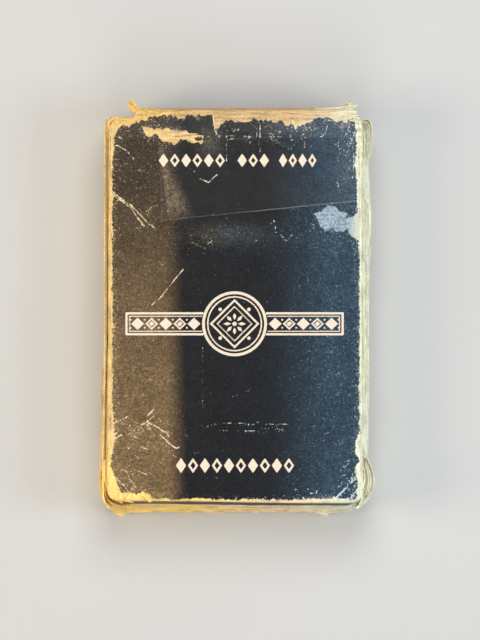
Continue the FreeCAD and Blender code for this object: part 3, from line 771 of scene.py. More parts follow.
def emblem(x, y):
    """A rosette of nested lozenges and rings in the middle of a straight frieze of lozenges and dots."""
    cx, cy = EMBLEM_CENTRE
    across = np.abs(x - cx)
    radius = np.hypot(x - cx, y - cy)
    frame_line = np.minimum(EMBLEM_HALF[0] - across, EMBLEM_HALF[1] - np.abs(y - cy))
    best = np.maximum(outline(frame_line, 0.5), outline(frame_line - 0.85, 0.25))
    pitch = (EMBLEM_HALF[0] - ROSETTE_RADIUS - 1.8) / 5
    for k in range(5):
        place = ROSETTE_RADIUS + 0.6 + pitch * (k + 0.5)
        shape = lozenge(across, y, place, cy, 0.46 * pitch, 1.45)
        if k % 2:
            shape = np.maximum(outline(shape, 0.36), shape - 0.62)
        best = np.maximum(best, shape)
        for side in (-1, 1):
            best = np.maximum(best, 0.24 - np.hypot(across - place - pitch / 2, y - cy - 0.95 * side))
    best = np.where(radius < ROSETTE_RADIUS + 0.5, -9.0, best)
    ring = 0.33 - np.abs(radius - ROSETTE_RADIUS)
    thin_ring = 0.17 - np.abs(radius - ROSETTE_RADIUS + 1.0)
    best = np.maximum(best, np.maximum(ring, thin_ring))
    best = np.maximum(best, outline(lozenge(x, y, cx, cy, 5.9, 5.9), 0.45))
    best = np.maximum(best, outline(lozenge(x, y, cx, cy, 4.3, 4.3), 0.28))
    for k in range(8):
        angle = math.pi / 4 * k
        along = (x - cx) * math.cos(angle) + (y - cy) * math.sin(angle)
        aside = -(x - cx) * math.sin(angle) + (y - cy) * math.cos(angle)
        petal = lozenge(along, aside, 1.75, 0.0, 0.95, 0.42)
        best = np.maximum(best, petal)
        if k % 2:
            best = np.maximum(best, 0.42 - np.hypot(along - 4.85, aside))
    return np.maximum(best, 0.5 - radius)


def as_edge(distance, reach=1.0):
    """A signed distance as a field that is 1 at the edge and 0 well outside."""
    return np.clip(1.0 + distance / reach, 0.0, 2.0)


def face_worn(x, y):
    """How far inside the bare zones of the face a point is, in mm."""
    wobble = 0.26 * fractal(x, y, 2.2, 41) + 0.26 * fractal(x, y, 0.8, 45)
    left = stations(y, LEFT_WEAR) - (x + HALF_WIDTH)
    right = stations(y, RIGHT_WEAR) - (HALF_WIDTH - x)
    bottom = stations(x, BOTTOM_WEAR) - (y - FACE_END)
    top = y - stations(x, TOP_EDGE)
    top = top + 0.55 * value_noise(x, 0.3 * y, 0.55, 47) + 0.35 * value_noise(x, 0.3 * y, 1.3, 48)
    worn = np.maximum(np.maximum(left, right), np.maximum(bottom, top)) + wobble
    for patch in (LEFT_CORNER, TORN_STRIP, BARE_TRIANGLE):
        jag = 0.45 * value_noise(x, 0.5 * y, 0.7, 49)
        worn = np.maximum(worn, inside_distance(x, y, patch) + wobble * 0.6 + jag)
    hole = 0.9 - np.hypot((x + 8.5) / 1.1, (y - 40.5) / 0.55)
    worn = np.minimum(worn, -hole * 0.8)
    for cx, cy, size in list(CHIPS) + random_flecks():
        near = (np.abs(x - cx) < 1.5) & (np.abs(y - cy) < 1.5)
        distance = np.hypot(x[near] - cx, (y[near] - cy) * 1.3)
        worn[near] = np.maximum(worn[near], size * 0.7 - 2.2 * distance + 0.3 * wobble[near])
    return worn


def random_flecks():
    """Small chips of missing print, in loose clusters."""
    random = np.random.default_rng(601)
    flecks = []
    for cx, cy, spread_x, spread_y, count, size in FLECK_CLUSTERS:
        for _ in range(count):
            place = random.normal((cx, cy), (spread_x, spread_y))
            flecks.append((place[0], place[1], size * random.uniform(0.5, 1.2)))
    return flecks


def random_scratches():
    """Fine scratches, closest together in the scuffed areas."""
    random = np.random.default_rng(611)
    scratches = []
    for cx, cy, spread_x, spread_y, count, length, turn, spread_turn, strength in SCUFFS:
        for _ in range(count):
            place = random.normal((cx, cy), (spread_x, spread_y))
            angle = math.radians(random.normal(turn, spread_turn))
            reach = length * random.uniform(0.4, 1.3) / 2
            step = np.array((math.cos(angle), math.sin(angle))) * reach
            bend = random.normal(0, 0.12 * reach, 2)
            points = (tuple(place - step), tuple(place + bend), tuple(place + step))
            scratches.append((random.uniform(0.10, 0.17), strength * random.uniform(0.6, 1.0), points))
    return scratches


def face_score(x, y):
    """Strength of the scratches, 0 to 1."""
    score = np.zeros(np.shape(x))
    shake = 0.12 * fractal(x, y, 0.8, 613)
    breaks = np.clip(0.85 + 0.45 * fractal(x, y, 0.9, 617), 0.3, 1.0)
    for width, strength, points in list(SCRATCHES) + random_scratches():
        px, py = zip(*points)
        near = (x > min(px) - 1) & (x < max(px) + 1) & (y > min(py) - 1) & (y < max(py) + 1)
        if not near.any():
            continue
        distance = line_distance(x[near] + shake[near], y[near] + shake[near], points)
        line = strength * breaks[near] * np.exp(-(distance / (0.82 * width)) ** 2)
        score[near] = np.maximum(score[near], line)
    return score


def face_smear(x, y):
    """The dusty adhesive band along the tape's left edge, and the cloudy film over the fold, 0 to 1."""
    start = stations(y, ((20, -15.2), (26, -16.2), (33, -17.0), (38.4, -18.0)))
    end = stations(y, ((20, -9.0), (26, -10.6), (33, -14.6), (38.4, -16.6)))
    smear = smooth_step(x, start - 0.3, start + 0.2) * smooth_step(x, end + 0.6, end - 3.0)
    smear = smear * smooth_step(y, 20.0, 25.0) * smooth_step(y, 38.9, 38.0)
    film = spot(x, y, -5.6, 39.5, 2.6, 3.2) * 0.55
    low = spot(x, y, -1.0, 17.8, 9.0, 2.6) * 0.35
    wing = spot(x, y, 27.0, 33.0, 2.6, 9.0) * 0.5
    veil = spot(x, y, 15.0, 43.2, 9.0, 2.0) * 0.45
    return np.clip(smear * 0.85 + film + low + wing + veil, 0, 1)


def face_dust(x, y):
    """Where more of the paper shows through the print as fine specks, 0 to 1."""
    left = smooth_step(x, -13.0, -17.0) * (0.55 + 0.3 * smooth_step(y, 10.0, -25.0))
    right = smooth_step(x, 6.0, 22.0) * 0.55
    lower_left = spot(x, y, -21, -31, 6, 5) * 0.6
    patch = spot(x, y, 24, 20, 6, 4.5) * 0.5
    scuffed = spot(x, y, -1.0, 17.5, 12.0, 3.0) * 0.45
    tape_line = TAPE_EDGE_Y + TAPE_EDGE_RISE * (x + 17.5) / 46.8
    taped = smooth_step(y, tape_line, tape_line + 0.5) * smooth_step(x, -13.0, -9.0)
    total = 0.22 + left + right + lower_left + patch + scuffed - 0.45 * taped * smooth_step(y, 41.0, 38.0)
    return np.clip(total + 0.10 * fractal(x, y, 5.0, 61), 0, 1)


def face_painted_warm_reflection(x, y):
    """A painted warm reflection that browns the print's left third, strongest towards the bottom."""
    boundary = -14.5 + 0.9 * smooth_step(y, 10, -35) + 0.30 * fractal(x * 0.4, y, 6.0, 71)
    across = smooth_step(x, boundary + 2.7, boundary - 2.4)
    return across * stations(y, ((-46, 1.0), (-25, 0.95), (0, 0.75), (18, 0.42), (30, 0.25), (46, 0.2)))


def face_height(x, y):
    """Height of the face's upper skin, without its rolled edges."""
    z = FACE_TOP - FOLD_DROP * np.maximum(y - CREASE_Y, 0) / (FOLD_Y - CREASE_Y)
    z = z - 0.10 + 0.09 * fractal(x, y, 17.0, 21) + 0.03 * fractal(x, y, 4.0, 24)
    upper = smooth_step(y, 30.0, 40.0)
    z = z + upper * 0.07 * fractal(x, y, 3.2, 27)
    for depth, width, points in CREASES:
        z = z + depth * np.exp(-(line_distance(x, y, points) / width) ** 2)
    return z


def rounded_panel(half_width, y_low, y_high, radius, cols, rows):
    """A grid and the plan points of a panel, whose lower corner squares are mapped to quarter discs."""
    across = np.linspace(-half_width, half_width, cols + 1)
    x, y = np.meshgrid(across, np.linspace(y_low, y_high, rows + 1))
    flat_x = x.copy()
    flat_y = y.copy()
    for side in (-1, 1):
        u = np.clip((side * x - half_width + radius) / radius, 0, 1)
        v = np.clip((y_low + radius - y) / radius, 0, 1)
        flat_x = flat_x + side * radius * (u * np.sqrt(1 - v * v / 2) - u)
        flat_y = flat_y - radius * (v * np.sqrt(1 - u * u / 2) - v)
    return x, y, flat_x, flat_y


def make_face():
    x, y, flat_x, flat_y = rounded_panel(HALF_WIDTH, FACE_END, FOLD_Y, CORNER_RADIUS, 232, 360)
    # shoulders either side of the fold, the left one rounded
    top = np.where(x < SHOULDER_LEFT, SHOULDER_Y - 0.30 * np.clip(-x - 27.0, 0, 3) ** 2, FOLD_Y)
    top = np.where(x > SHOULDER_RIGHT, SHOULDER_Y, top)
    top = top + 0.16 * fractal(x, 0 * x + 3, 1.8, 31) * smooth_step(y, 45, 47)
    flat_y = flat_y + (top - FOLD_Y) * smooth_step(y, 38.0, FOLD_Y)
    # ragged, slightly bowed long edges
    from_left = x + HALF_WIDTH
    from_right = HALF_WIDTH - x
    ragged = 0.10 * fractal(0 * x, y, 2.5, 33) + 0.06 * fractal(0 * x, y, 0.7, 36)
    lean = stations(y, ((-46, 0.35), (-38, 0.75), (-25, 0.5), (-8, 0.15), (10, 0.05), (47, 0.0)))
    flat_x = flat_x + 0.9 * ragged * np.exp(-from_left / 0.9) - lean * np.exp(-from_left / 2.5)
    drift = stations(y, ((-46, 0.9), (-30, 0.35), (0, 0.2), (47, 0.1)))
    flat_x = flat_x + (drift + 0.8 * ragged) * np.exp(-from_right / 2.5)
    flat_y = flat_y - (0.3 + 0.5 * smooth_step(x, -20, 20)) * np.exp(-(y - FACE_END) / 1.5)
    top_marks = row_of_marks(x, y, TOP_GROUPS, *TOP_ROW)
    rows_of_marks = np.maximum(top_marks, row_of_marks(x, y, BOTTOM_GROUPS, *BOTTOM_ROW))
    fields = {
        "worn": as_edge(face_worn(flat_x, flat_y), 2.0),
        "mark": as_edge(np.maximum(rows_of_marks, emblem(x, y))),
        "torn": as_edge(inside_distance(flat_x, flat_y, TORN_PATCH) + 0.40 * fractal(x, y, 0.9, 51)),
        "score": face_score(flat_x, flat_y),
        "dust": face_dust(flat_x, flat_y),
        "smear": face_smear(flat_x, flat_y),
        "warm": face_painted_warm_reflection(flat_x, flat_y),
    }
    roll = 0.8
    edge = np.minimum(np.minimum(from_left, from_right), y - FACE_END)
    u = np.clip(np.abs(x) - HALF_WIDTH + CORNER_RADIUS, 0, CORNER_RADIUS)
    v = np.clip(FACE_END + CORNER_RADIUS - y, 0, CORNER_RADIUS)
    in_corner = (u > 0) & (v > 0)
    edge = np.where(in_corner, CORNER_RADIUS - np.maximum(u, v), edge)
    short = np.clip(roll - edge, 0, roll)
    z = face_height(flat_x, flat_y) - (roll - np.sqrt(roll * roll - short * short)) * 0.75
    z = z - 0.07 * np.clip(fields["torn"] - 1.0, 0, 0.25) * 4
    bare = np.clip((fields["worn"] - 1.0) * 4, 0, 1)
    z = z + bare * (0.05 * fractal(x, y, 0.8, 81) - 0.03)
    z = z - 0.04 * fields["score"]
    outer = np.stack([flat_x, flat_y, z], axis=-1)
    inner = outer.copy()
    inner[..., 2] -= BOARD
    piece = closed_sheet("face_panel_printed", outer, inner, (PRINTED, BARE_SHADED, BARE), 4, fields)
    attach(piece, "box")
    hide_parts("face_panel")


# ---------------------------------------------------------------- the other boards

# place and depth of the upright creases
WALL_CREASES = ((-33.0, 0.10), (-19.5, 0.07), (-6.0, 0.10), (9.5, 0.08), (21.0, 0.10), (35.0, 0.08))
# place along the wall, and how far it stands out
LEFT_BOW = ((-48, 1.2), (-38, 1.7), (-20, 1.25), (0, 1.0), (25, 0.85), (45.4, 0.6))
LEFT_TOP_OUT = ((-48, 1.4), (-38, 1.65), (-25, 1.3), (-8, 1.1), (10, 1.1), (45.4, 1.05))
RIGHT_BOW = (
    (-48, 1.6), (-44, 3.3), (-41, 3.1), (-38.5, 2.5), (-33, 2.45), (-8, 2.5), (11, 2.6), (14, 2.95),
    (24, 2.95), (27, 2.6), (36, 2.6), (38, 2.9), (43, 2.9), (45.4, 1.2))
RIGHT_TOP_OUT = ((-48, 0.9), (-38, 0.6), (-30, 0.5), (0, 0.4), (45.4, 0.4))


def side_grid(side, y_low, y_high, bow, top_out, z_high, seed):
    """Outer skin of a bowed side wall. bow is how far it stands out at half height, and top_out at its upper
    edge."""
    y, v = np.meshgrid(np.linspace(y_low, y_high, 240), np.linspace(0, 1, 44), indexing="ij")
    middle = np.clip(4 * v * (1 - v), 0, 1) ** 0.55
    lower = stations(y, bow) * middle
    near_top = smooth_step(v, 0.7, 1.0)
    upper = stations(y, bow) * middle ** 0.5 * (1 - near_top) + stations(y, top_out) * near_top
    out = np.where(v < 0.5, lower, upper)
    out = out + 0.16 * fractal(y, v * 17, 7.0, seed) * middle
    out = out + 0.05 * fractal(y, v * 17, 1.6, seed + 5)
    out = out + 0.05 * fractal(0.12 * y, v * 17, 0.8, seed + 7)
    for place, depth in WALL_CREASES:
        wander = 0.5 * fractal(0 * y, v * 17, 3.0, seed + 8)
        out = out - depth * np.exp(-((y - place - wander) / 0.35) ** 2) * middle
    ragged = 0.12 * fractal(y, 0 * y, 1.2, seed + 9) + 0.08 * fractal(y, 0 * y, 0.5, seed + 12)
    z = WALL_FOOT + (z_high + ragged * smooth_step(v, 0.8, 1.0) - WALL_FOOT) * v
    x = side * (HALF_WIDTH - 0.05 + out)
    # the ends turn in round the corners
    for inside, reach, depth in ((y - y_low, 3.2, 1.5), (y_high - y, 2.6, 0.7)):
        x = x - side * depth * np.clip((reach - inside) / reach, 0, 1) ** 2
    return np.stack([x, y, z], axis=-1)


def make_walls():
    grid = side_grid(-1, LEFT_LOW[1], LEFT_HIGH[1], LEFT_BOW, LEFT_TOP_OUT, LEFT_WALL_TOP, 101)
    left = closed_sheet("left_side_panel_worn", *skins(grid, BOARD, 0, 1), (BARE, BARE_SHADED, BARE))
    grid = side_grid(1, RIGHT_LOW[1], RIGHT_HIGH[1], RIGHT_BOW, RIGHT_TOP_OUT, RIGHT_WALL_TOP, 131)
    outer, inner = skins(grid, BOARD, 0, -1)
    right = closed_sheet("right_side_panel_worn", outer, inner, (BARE, BARE_SHADED, BARE))
    # the glue flap lies against the inside of the right wall
    glued = (grid[:, 0, 1] > GLUE_LOW[1]) & (grid[:, 0, 1] < GLUE_HIGH[1])
    inward = (inner - outer) / BOARD
    glue_outer = (inner + inward * 0.05)[glued, 2:-2]
    glue_inner = (inner + inward * 0.45)[glued, 2:-2]
    glue = closed_sheet("glue_flap_board", glue_outer, glue_inner, (BARE_SHADED, BARE_SHADED, BARE_SHADED))
    for piece, node in ((left, "left_side_panel"), (right, "right_side_panel"), (glue, "glue_flap")):
        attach(piece, "box")
        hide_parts(node)


def make_rear():
    notch = 8.0
    x, y, flat_x, flat_y = rounded_panel(HALF_WIDTH, REAR_LOW[1], REAR_HIGH[1], CORNER_RADIUS, 150, 236)
    depth = np.sqrt(np.clip(notch ** 2 - x ** 2, 0, None))
    flat_y = flat_y - depth * smooth_step(y, 30.0, REAR_HIGH[1])
    ragged = 0.10 * fractal(x, y, 1.6, 151)
    edge = np.minimum(y - REAR_LOW[1], REAR_HIGH[1] - y)
    edge = np.minimum(np.minimum(x + HALF_WIDTH, HALF_WIDTH - x), edge)
    flat_x = flat_x + ragged * np.exp(-edge / 0.6) * np.sign(x)
    flat_y = flat_y + ragged * np.exp(-edge / 0.6) * np.sign(y)
    worn = 0.9 - edge + 0.8 * fractal(x, y, 5.0, 153) + 0.3 * fractal(x, y, 1.2, 156)
    corner = np.hypot(np.abs(x) - HALF_WIDTH, y - REAR_LOW[1])
    worn = np.maximum(worn, 4.2 - corner + 0.8 * fractal(x, y, 2.0, 158))
    rub = fractal(x, y, 9.0, 161)
    score = np.clip(fractal(x * 1.0, y * 0.12, 0.8, 164) * 1.6 - 0.75 + 0.3 * rub, 0, 0.7)
    # the rear panel carries the painted warm reflection evenly, at 0.25
    fields = {"worn": as_edge(worn, 2.0), "score": score, "dust": 0.35 + 0.25 * rub, "warm": 0.25 + 0 * x}
    z = 0.02 + 0.02 * np.abs(fractal(x, y, 6.0, 166))
    outer = np.stack([flat_x, flat_y, z], axis=-1)
    inner = outer.copy()
    inner[..., 2] += BOARD
    piece = closed_sheet("rear_panel_printed", outer, inner, (PRINTED, BARE_SHADED, BARE), 2, fields)
    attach(piece, "box")
    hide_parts("rear_panel")


# height, and y of the outer skin there
FLAP_PROFILE = (
    (0.5, -48.4), (1.3, -49.0), (2.4, -49.1), (3.3, -48.85), (4.3, -48.3), (5.2, -47.85), (6.4, -47.5),
    (9.0, -47.05), (14.0, -46.27), (18.0, -45.7))


def make_bottom_flap():
    """The outer bottom flap leans out and ends in the worn, flared fold above the rear panel."""
    u, v = np.meshgrid(np.linspace(-1, 1, 260), np.linspace(0, 1, 50))
    x = u * (HALF_WIDTH - 0.15)
    z = FLAP_FOOT + (FLAP_TOP - FLAP_FOOT) * v ** 1.3
    y = stations(z, FLAP_PROFILE)
    lip = smooth_step(z, 4.6, 2.8)
    nub = 0.26 * fractal(x, 0 * x, 2.6, 171) + 0.20 * fractal(x, 0 * x, 0.7, 174)
    y = y - nub * lip
    y = y + 0.08 * fractal(x, z, 5.0, 177) + 0.04 * fractal(x, z, 1.0, 179)
    turn = np.clip((np.abs(x) - 26.6) / 3.3, 0, 1)
    y = y + 1.7 * turn ** 2
    bare_below = stations(x, ((-30, 12.0), (-18, 10.6), (0, 8.6), (30, 7.8)))
    worn = np.maximum(bare_below - z, z - (FACE_TOP - 1.0))
    worn = worn + 0.8 * fractal(x, z, 2.2, 181) + 0.4 * fractal(x, z, 0.7, 182)
    worn = np.maximum(worn, np.abs(x) - 28.6 + 0.4 * fractal(x, z, 1.0, 183))
    score = np.clip(fractal(x * 0.3, z, 0.6, 185) * 1.5 - 0.8, 0, 0.8)
    fields = {"worn": as_edge(worn, 2.0), "score": 0.6 * score, "dust": 0.1 + 0.1 * fractal(x, z, 3.0, 187)}
    # painted warm reflection on the left of the flap
    fields["warm"] = 0.5 * smooth_step(x, -12.0, -18.0)
    grid = np.stack([x, y, z], axis=-1)
    outer, inner = skins(grid, BOARD, 1, 1)
    piece = closed_sheet("bottom_outer_flap_printed", outer, inner, (PRINTED, BARE_SHADED, BARE), 1, fields)
    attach(piece, "box")
    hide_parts("bottom_outer_flap")


def lid_y(z):
    """Outer skin of the bowed lid at a height."""
    cy, cz = LID_ARC_CENTRE
    return cy + np.sqrt(LID_ARC_RADIUS ** 2 - (z - cz) ** 2)


def lid_skin(x, z):
    return lid_y(z) + 0.10 * fractal(x, z, 8.0, 191) + 0.04 * fractal(x, z, 2.0, 194)


def make_lid():
    x, z = np.meshgrid(np.linspace(SHOULDER_LEFT, SHOULDER_RIGHT, 213), np.linspace(LID_FOOT, LID_TOP, 66))
    y = lid_skin(x, z) - 0.03
    edge = np.minimum(x - SHOULDER_LEFT, SHOULDER_RIGHT - x)
    x = x + 0.12 * fractal(0 * x, z, 1.0, 197) * np.exp(-edge / 0.5)
    worn = np.maximum(0.8 - edge, z - 10.4 - 1.2 * fractal(x, 0 * x, 9.0, 200))
    worn = np.maximum(worn, 2.0 - z)
    worn = worn + 0.7 * fractal(x, z, 3.0, 201) + 0.4 * fractal(x, z, 0.8, 204)
    score = np.clip(fractal(x, z * 0.3, 0.7, 207) * 1.5 - 0.75, 0, 0.9)
    fields = {"worn": as_edge(worn, 2.0), "score": score, "dust": 0.4 + 0.2 * fractal(x, z, 3.0, 209)}
    # painted warm reflection on the left of the lid
    fields["warm"] = 0.6 * smooth_step(x, -8.0, -16.0)
    grid = np.stack([x, y, z], axis=-1)
    outer, inner = skins(grid, BOARD, 1, -1)
    piece = closed_sheet("lid_panel_printed", outer, inner, (PRINTED, BARE_SHADED, BARE), 1, fields)
    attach(piece, "lid")
    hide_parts("lid_panel")


def fold_path(x, clearance, face_from, lid_to, face_count, lid_count):
    """Points at one x of a sheet that lies on the face, turns over the fold and runs down the lid."""
    y_face = np.linspace(face_from, FOLD_Y - 0.35, face_count)
    z_face = face_height(x + 0 * y_face, y_face) + clearance
    z_lid = np.linspace(16.75, lid_to, lid_count)
    y_lid = lid_skin(x + 0 * z_lid, z_lid) + clearance
    corner = np.array([FOLD_Y + 0.30 + clearance, 17.62 + clearance])
    start = np.array([y_face[-1], z_face[-1]])
    end = np.array([y_lid[0], z_lid[0]])
    curve = []
    for t in np.linspace(0, 1, 11)[1:-1]:
        curve.append((1 - t) ** 2 * start + 2 * t * (1 - t) * corner + t ** 2 * end)
    y = np.concatenate([y_face, [c[0] for c in curve], y_lid])
    z = np.concatenate([z_face, [c[1] for c in curve], z_lid])
    return np.stack([x + 0 * y, y, z], axis=-1)


def make_fold():
    """The worn board that turns over the hinge between face and lid, frayed at both edges."""
    columns = []
    for x in np.linspace(SHOULDER_LEFT + 0.1, SHOULDER_RIGHT - 0.1, 230):
        start = 46.25 + 0.30 * fractal(x, 0.0, 1.6, 211) + 0.18 * fractal(x, 0.0, 0.6, 214)
        end = 16.1 + 0.5 * fractal(x, 0.0, 1.9, 217)
        columns.append(fold_path(x, FOLD_CLEARANCE, float(start), float(end), 6, 6))
    grid = np.array(columns)
    rough = 0.05 * fractal(grid[..., 0], grid[..., 1] + grid[..., 2], 0.9, 219)
    grid = grid + rough[..., None] * (0, 0.7, 0.7)
    outer, inner = skins(grid, FOLD_PLY, 2, -1, at=(9, 2))
    piece = closed_sheet("lid_fold_worn", outer, inner, (BARE, BARE_SHADED, BARE))
    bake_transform(piece)


def make_tape():
    columns = []
    left = TAPE_LOW[0] - 0.5
    right = TAPE_HIGH[0]
    for x in np.linspace(left, right, 160):
        share = (x - left) / (right - left)
        start = TAPE_EDGE_Y + TAPE_EDGE_RISE * share + 0.06 * value_noise(x, 0.0, 1.2, 221)
        columns.append(fold_path(x, TAPE_CLEARANCE, float(start), TAPE_LOWER_END, 74, 20))
    grid = np.array(columns)
    x = grid[..., 0]
    y = grid[..., 1]
    lift = 0.03 + 0.03 * fractal(x, y, 3.0, 224) + 0.05 * np.exp(-np.abs(y - 46.4) / 1.2)
    on_face = smooth_step(y, 47.2, 46.2)
    grid[..., 2] += lift * on_face
    rows = grid.shape[1]
    from_start = np.abs(y - y[:, :1])
    from_side = x - left
    index = np.arange(rows)[None, :]
    dust = (0.12 + 0.22 * smooth_step(x, -2.0, 12.0)) * np.exp(-(from_start / 0.14) ** 2)
    dust = dust * (index < rows / 2)
    dust = dust + 0.05 * np.exp(-(from_side / 0.25) ** 2)
    dust = dust + 0.7 * np.clip(fractal(x, y, 1.6, 227) - 0.35, 0, 1) * smooth_step(y, 38, 45)
    outer, inner = skins(grid, TAPE_FILM, 2, -1)
    piece = closed_sheet("repair_tape", outer, inner, (TAPE, TAPE, TAPE), 1, {"dust": np.clip(dust, 0, 1)})
    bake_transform(piece)
    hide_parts("repair_tape_on_face", "repair_tape_on_lid")


def make_tongue():
    """The tuck tongue turns under from the lid's lower edge."""
    low_x = TONGUE_LOW[0]
    high_x = TONGUE_HIGH[0]
    columns = []
    for x in np.linspace(low_x, high_x, 130):
        edge = min(x - low_x, high_x - x)
        inset = max(TONGUE_RADIUS - edge, 0.0)
        tip = TONGUE_LOW[1] + TONGUE_RADIUS - math.sqrt(max(TONGUE_RADIUS ** 2 - inset ** 2, 0.0))
        tip += 0.12 * float(fractal(x, 0.0, 1.4, 231))
        turn = [(47.42, 1.75), (47.38, 1.25), (47.18, 0.92), (46.75, TONGUE_HEIGHT)]
        run = [(y, TONGUE_HEIGHT) for y in np.linspace(46.3, tip, 44)]
        columns.append([(x, y, z) for y, z in turn + run])
    grid = np.array(columns)
    wave = 0.05 * np.abs(fractal(grid[..., 0], grid[..., 1], 6.0, 234))
    grid[..., 2] += wave * smooth_step(grid[..., 1], 47.0, 45.0)
    outer, inner = skins(grid, TONGUE_BOARD, 2, 1, at=(9, 30))
    piece = closed_sheet("tuck_tongue_board", outer, inner, (BARE, BARE_SHADED, BARE))
    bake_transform(piece)
    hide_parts("tuck_tongue")


def make_dust_flaps():
    for side, name in ((-1, "left"), (1, "right")):
        node = "top_dust_flap_" + name
        low, high = box_mm(node)
        inner_x = min(abs(low[0]), abs(high[0]))
        rows = []
        for s in np.linspace(0, 1, 60):
            x = DUST_FLAP_HINGE_X - s * (DUST_FLAP_HINGE_X - inner_x)
            z_low = 1.65 + 1.3 * s
            z_high = 16.5 - 8.6 * smooth_step(s, 0.15, 1.0)
            row = []
            for z in np.linspace(z_low, z_high, 40):
                y = 45.66 + 0.07 * float(fractal(x * side, z, 6.0, 241))
                y = y - 0.9 * max(0.0, 1 - s * 26) ** 2
                row.append((side * x, y, z + 0.05 * float(fractal(x, z, 1.0, 244))))
            rows.append(row)
        grid = np.array(rows)
        outer, inner = skins(grid, DUST_FLAP_BOARD, 1, -1)
        piece = closed_sheet(node + "_board", outer, inner, (BARE, BARE_SHADED, BARE))
        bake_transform(piece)
        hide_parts(node)


# ---------------------------------------------------------------- the cards

CARD_THICKNESS = 0.27
CARD_PITCH = 0.28
CARD_RADIUS = 3.2


def card_outline(half_width, low_y, high_y):
    points = []
    for cx, cy, start in ((1, 1, 0), (-1, 1, 90), (-1, -1, 180), (1, -1, 270)):
        for k in range(7):
            angle = math.radians(start + 15 * k)
            x = cx * (half_width - CARD_RADIUS) + CARD_RADIUS * math.cos(angle)
            middle = (high_y - CARD_RADIUS) if cy > 0 else (low_y + CARD_RADIUS)
            points.append((x, middle + CARD_RADIUS * math.sin(angle)))
    return np.array(points)


def make_cards():
    packets = (("joker_cards", "lowest_packet"), ("spade_cards", "lowest_packet"),
               ("heart_cards", "second_packet"), ("diamond_cards", "third_packet"),
               ("club_cards", "top_packet"))
    random = np.random.default_rng(301)
    for node, body in packets:
        low, high = box_mm(node)
        count = int(round((high[2] - low[2] - CARD_THICKNESS) / CARD_PITCH)) + 1
        parts = []
        margins = []
        kinds = []
        for k in range(count):
            z = low[2] + k * (high[2] - low[2] - CARD_THICKNESS) / max(count - 1, 1)
            ring = card_outline(high[0], low[1], high[1])
            shift = random.uniform(-0.18, 0.18, 2) * (0.6, 1.0)
            ring = ring + shift
            middle = ring.mean(axis=0)
            inset = middle + (ring - middle) * 0.90
            n = len(ring)
            vertices = []
            top = z + CARD_THICKNESS
            for height, loop in ((z, inset), (z, ring), (top, ring), (top, inset)):
                vertices += [(px, py, height) for px, py in loop]
            faces = [list(range(n))[::-1], list(range(3 * n, 4 * n))]
            kind = [0, 1]
            for band in range(3):
                for i in range(n):
                    j = (i + 1) % n
                    faces.append([band * n + i, band * n + j, (band + 1) * n + j, (band + 1) * n + i])
                    kind.append(1 if band == 2 else 0)
            parts.append((np.array(vertices), faces))
            margins.append(np.repeat((0.0, 2.0), (3 * n, n)))
            kinds += kind
        vertices, faces = join_parts(parts)
        piece = add_mesh(node + "_deck", vertices, faces, (CARD_EDGE, CARD_BACK), kinds,
                         [True] * len(faces), {"margin": np.concatenate(margins)})
        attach(piece, body)
        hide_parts(node)


# ---------------------------------------------------------------- torn plies, ears and fibres

PLY_TAPER = 0.35
PLY_COLUMNS = 7


def ply(points, across, width, seed, thickness, curl, count):
    """Skins of a torn strip of board ply along a path, curled across its width and ragged at its edges."""
    spine = smooth_path(points, count)
    tangent = np.gradient(spine, axis=0)
    tangent /= np.linalg.norm(tangent, axis=1, keepdims=True)
    across = np.array(across, float)
    across = across - tangent * (tangent @ across)[:, None]
    across /= np.linalg.norm(across, axis=1, keepdims=True)
    normal = np.cross(tangent, across)
    t = np.linspace(0, 1, count)
    s = np.linspace(-1, 1, PLY_COLUMNS)
    half = width / 2 * (1 - PLY_TAPER * t ** 2)
    random = np.random.default_rng(seed)
    left = half * (1 + random.uniform(-0.22, 0.22, count))
    right = half * (1 + random.uniform(-0.22, 0.22, count))
    reach = np.where(s[None, :] < 0, left[:, None], right[:, None])
    grid = spine[:, None, :] + across[:, None, :] * (s[None, :] * reach)[..., None]
    grid = grid + normal[:, None, :] * (curl * (s ** 2)[None, :] * half[:, None])[..., None]
    grid = grid + normal[:, None, :] * random.uniform(-0.02, 0.02, (count, PLY_COLUMNS))[..., None]
    offset = normal[:, None, :] * thickness / 2
    return grid + offset, grid - offset


def sheet_parts(outer, inner):
    """Points and faces of a closed sheet, for joining with others."""
    rows, cols = outer.shape[:2]
    a = np.arange(rows * cols).reshape(rows, cols)
    b = a + rows * cols
    faces = []
    for i in range(rows - 1):
        for j in range(cols - 1):
            faces.append([a[i, j], a[i, j + 1], a[i + 1, j + 1], a[i + 1, j]])
            faces.append([b[i, j], b[i + 1, j], b[i + 1, j + 1], b[i, j + 1]])
    faces = facing_out(faces + rim_faces(a, b), outer, inner)
    return np.vstack([outer.reshape(-1, 3), inner.reshape(-1, 3)]), faces


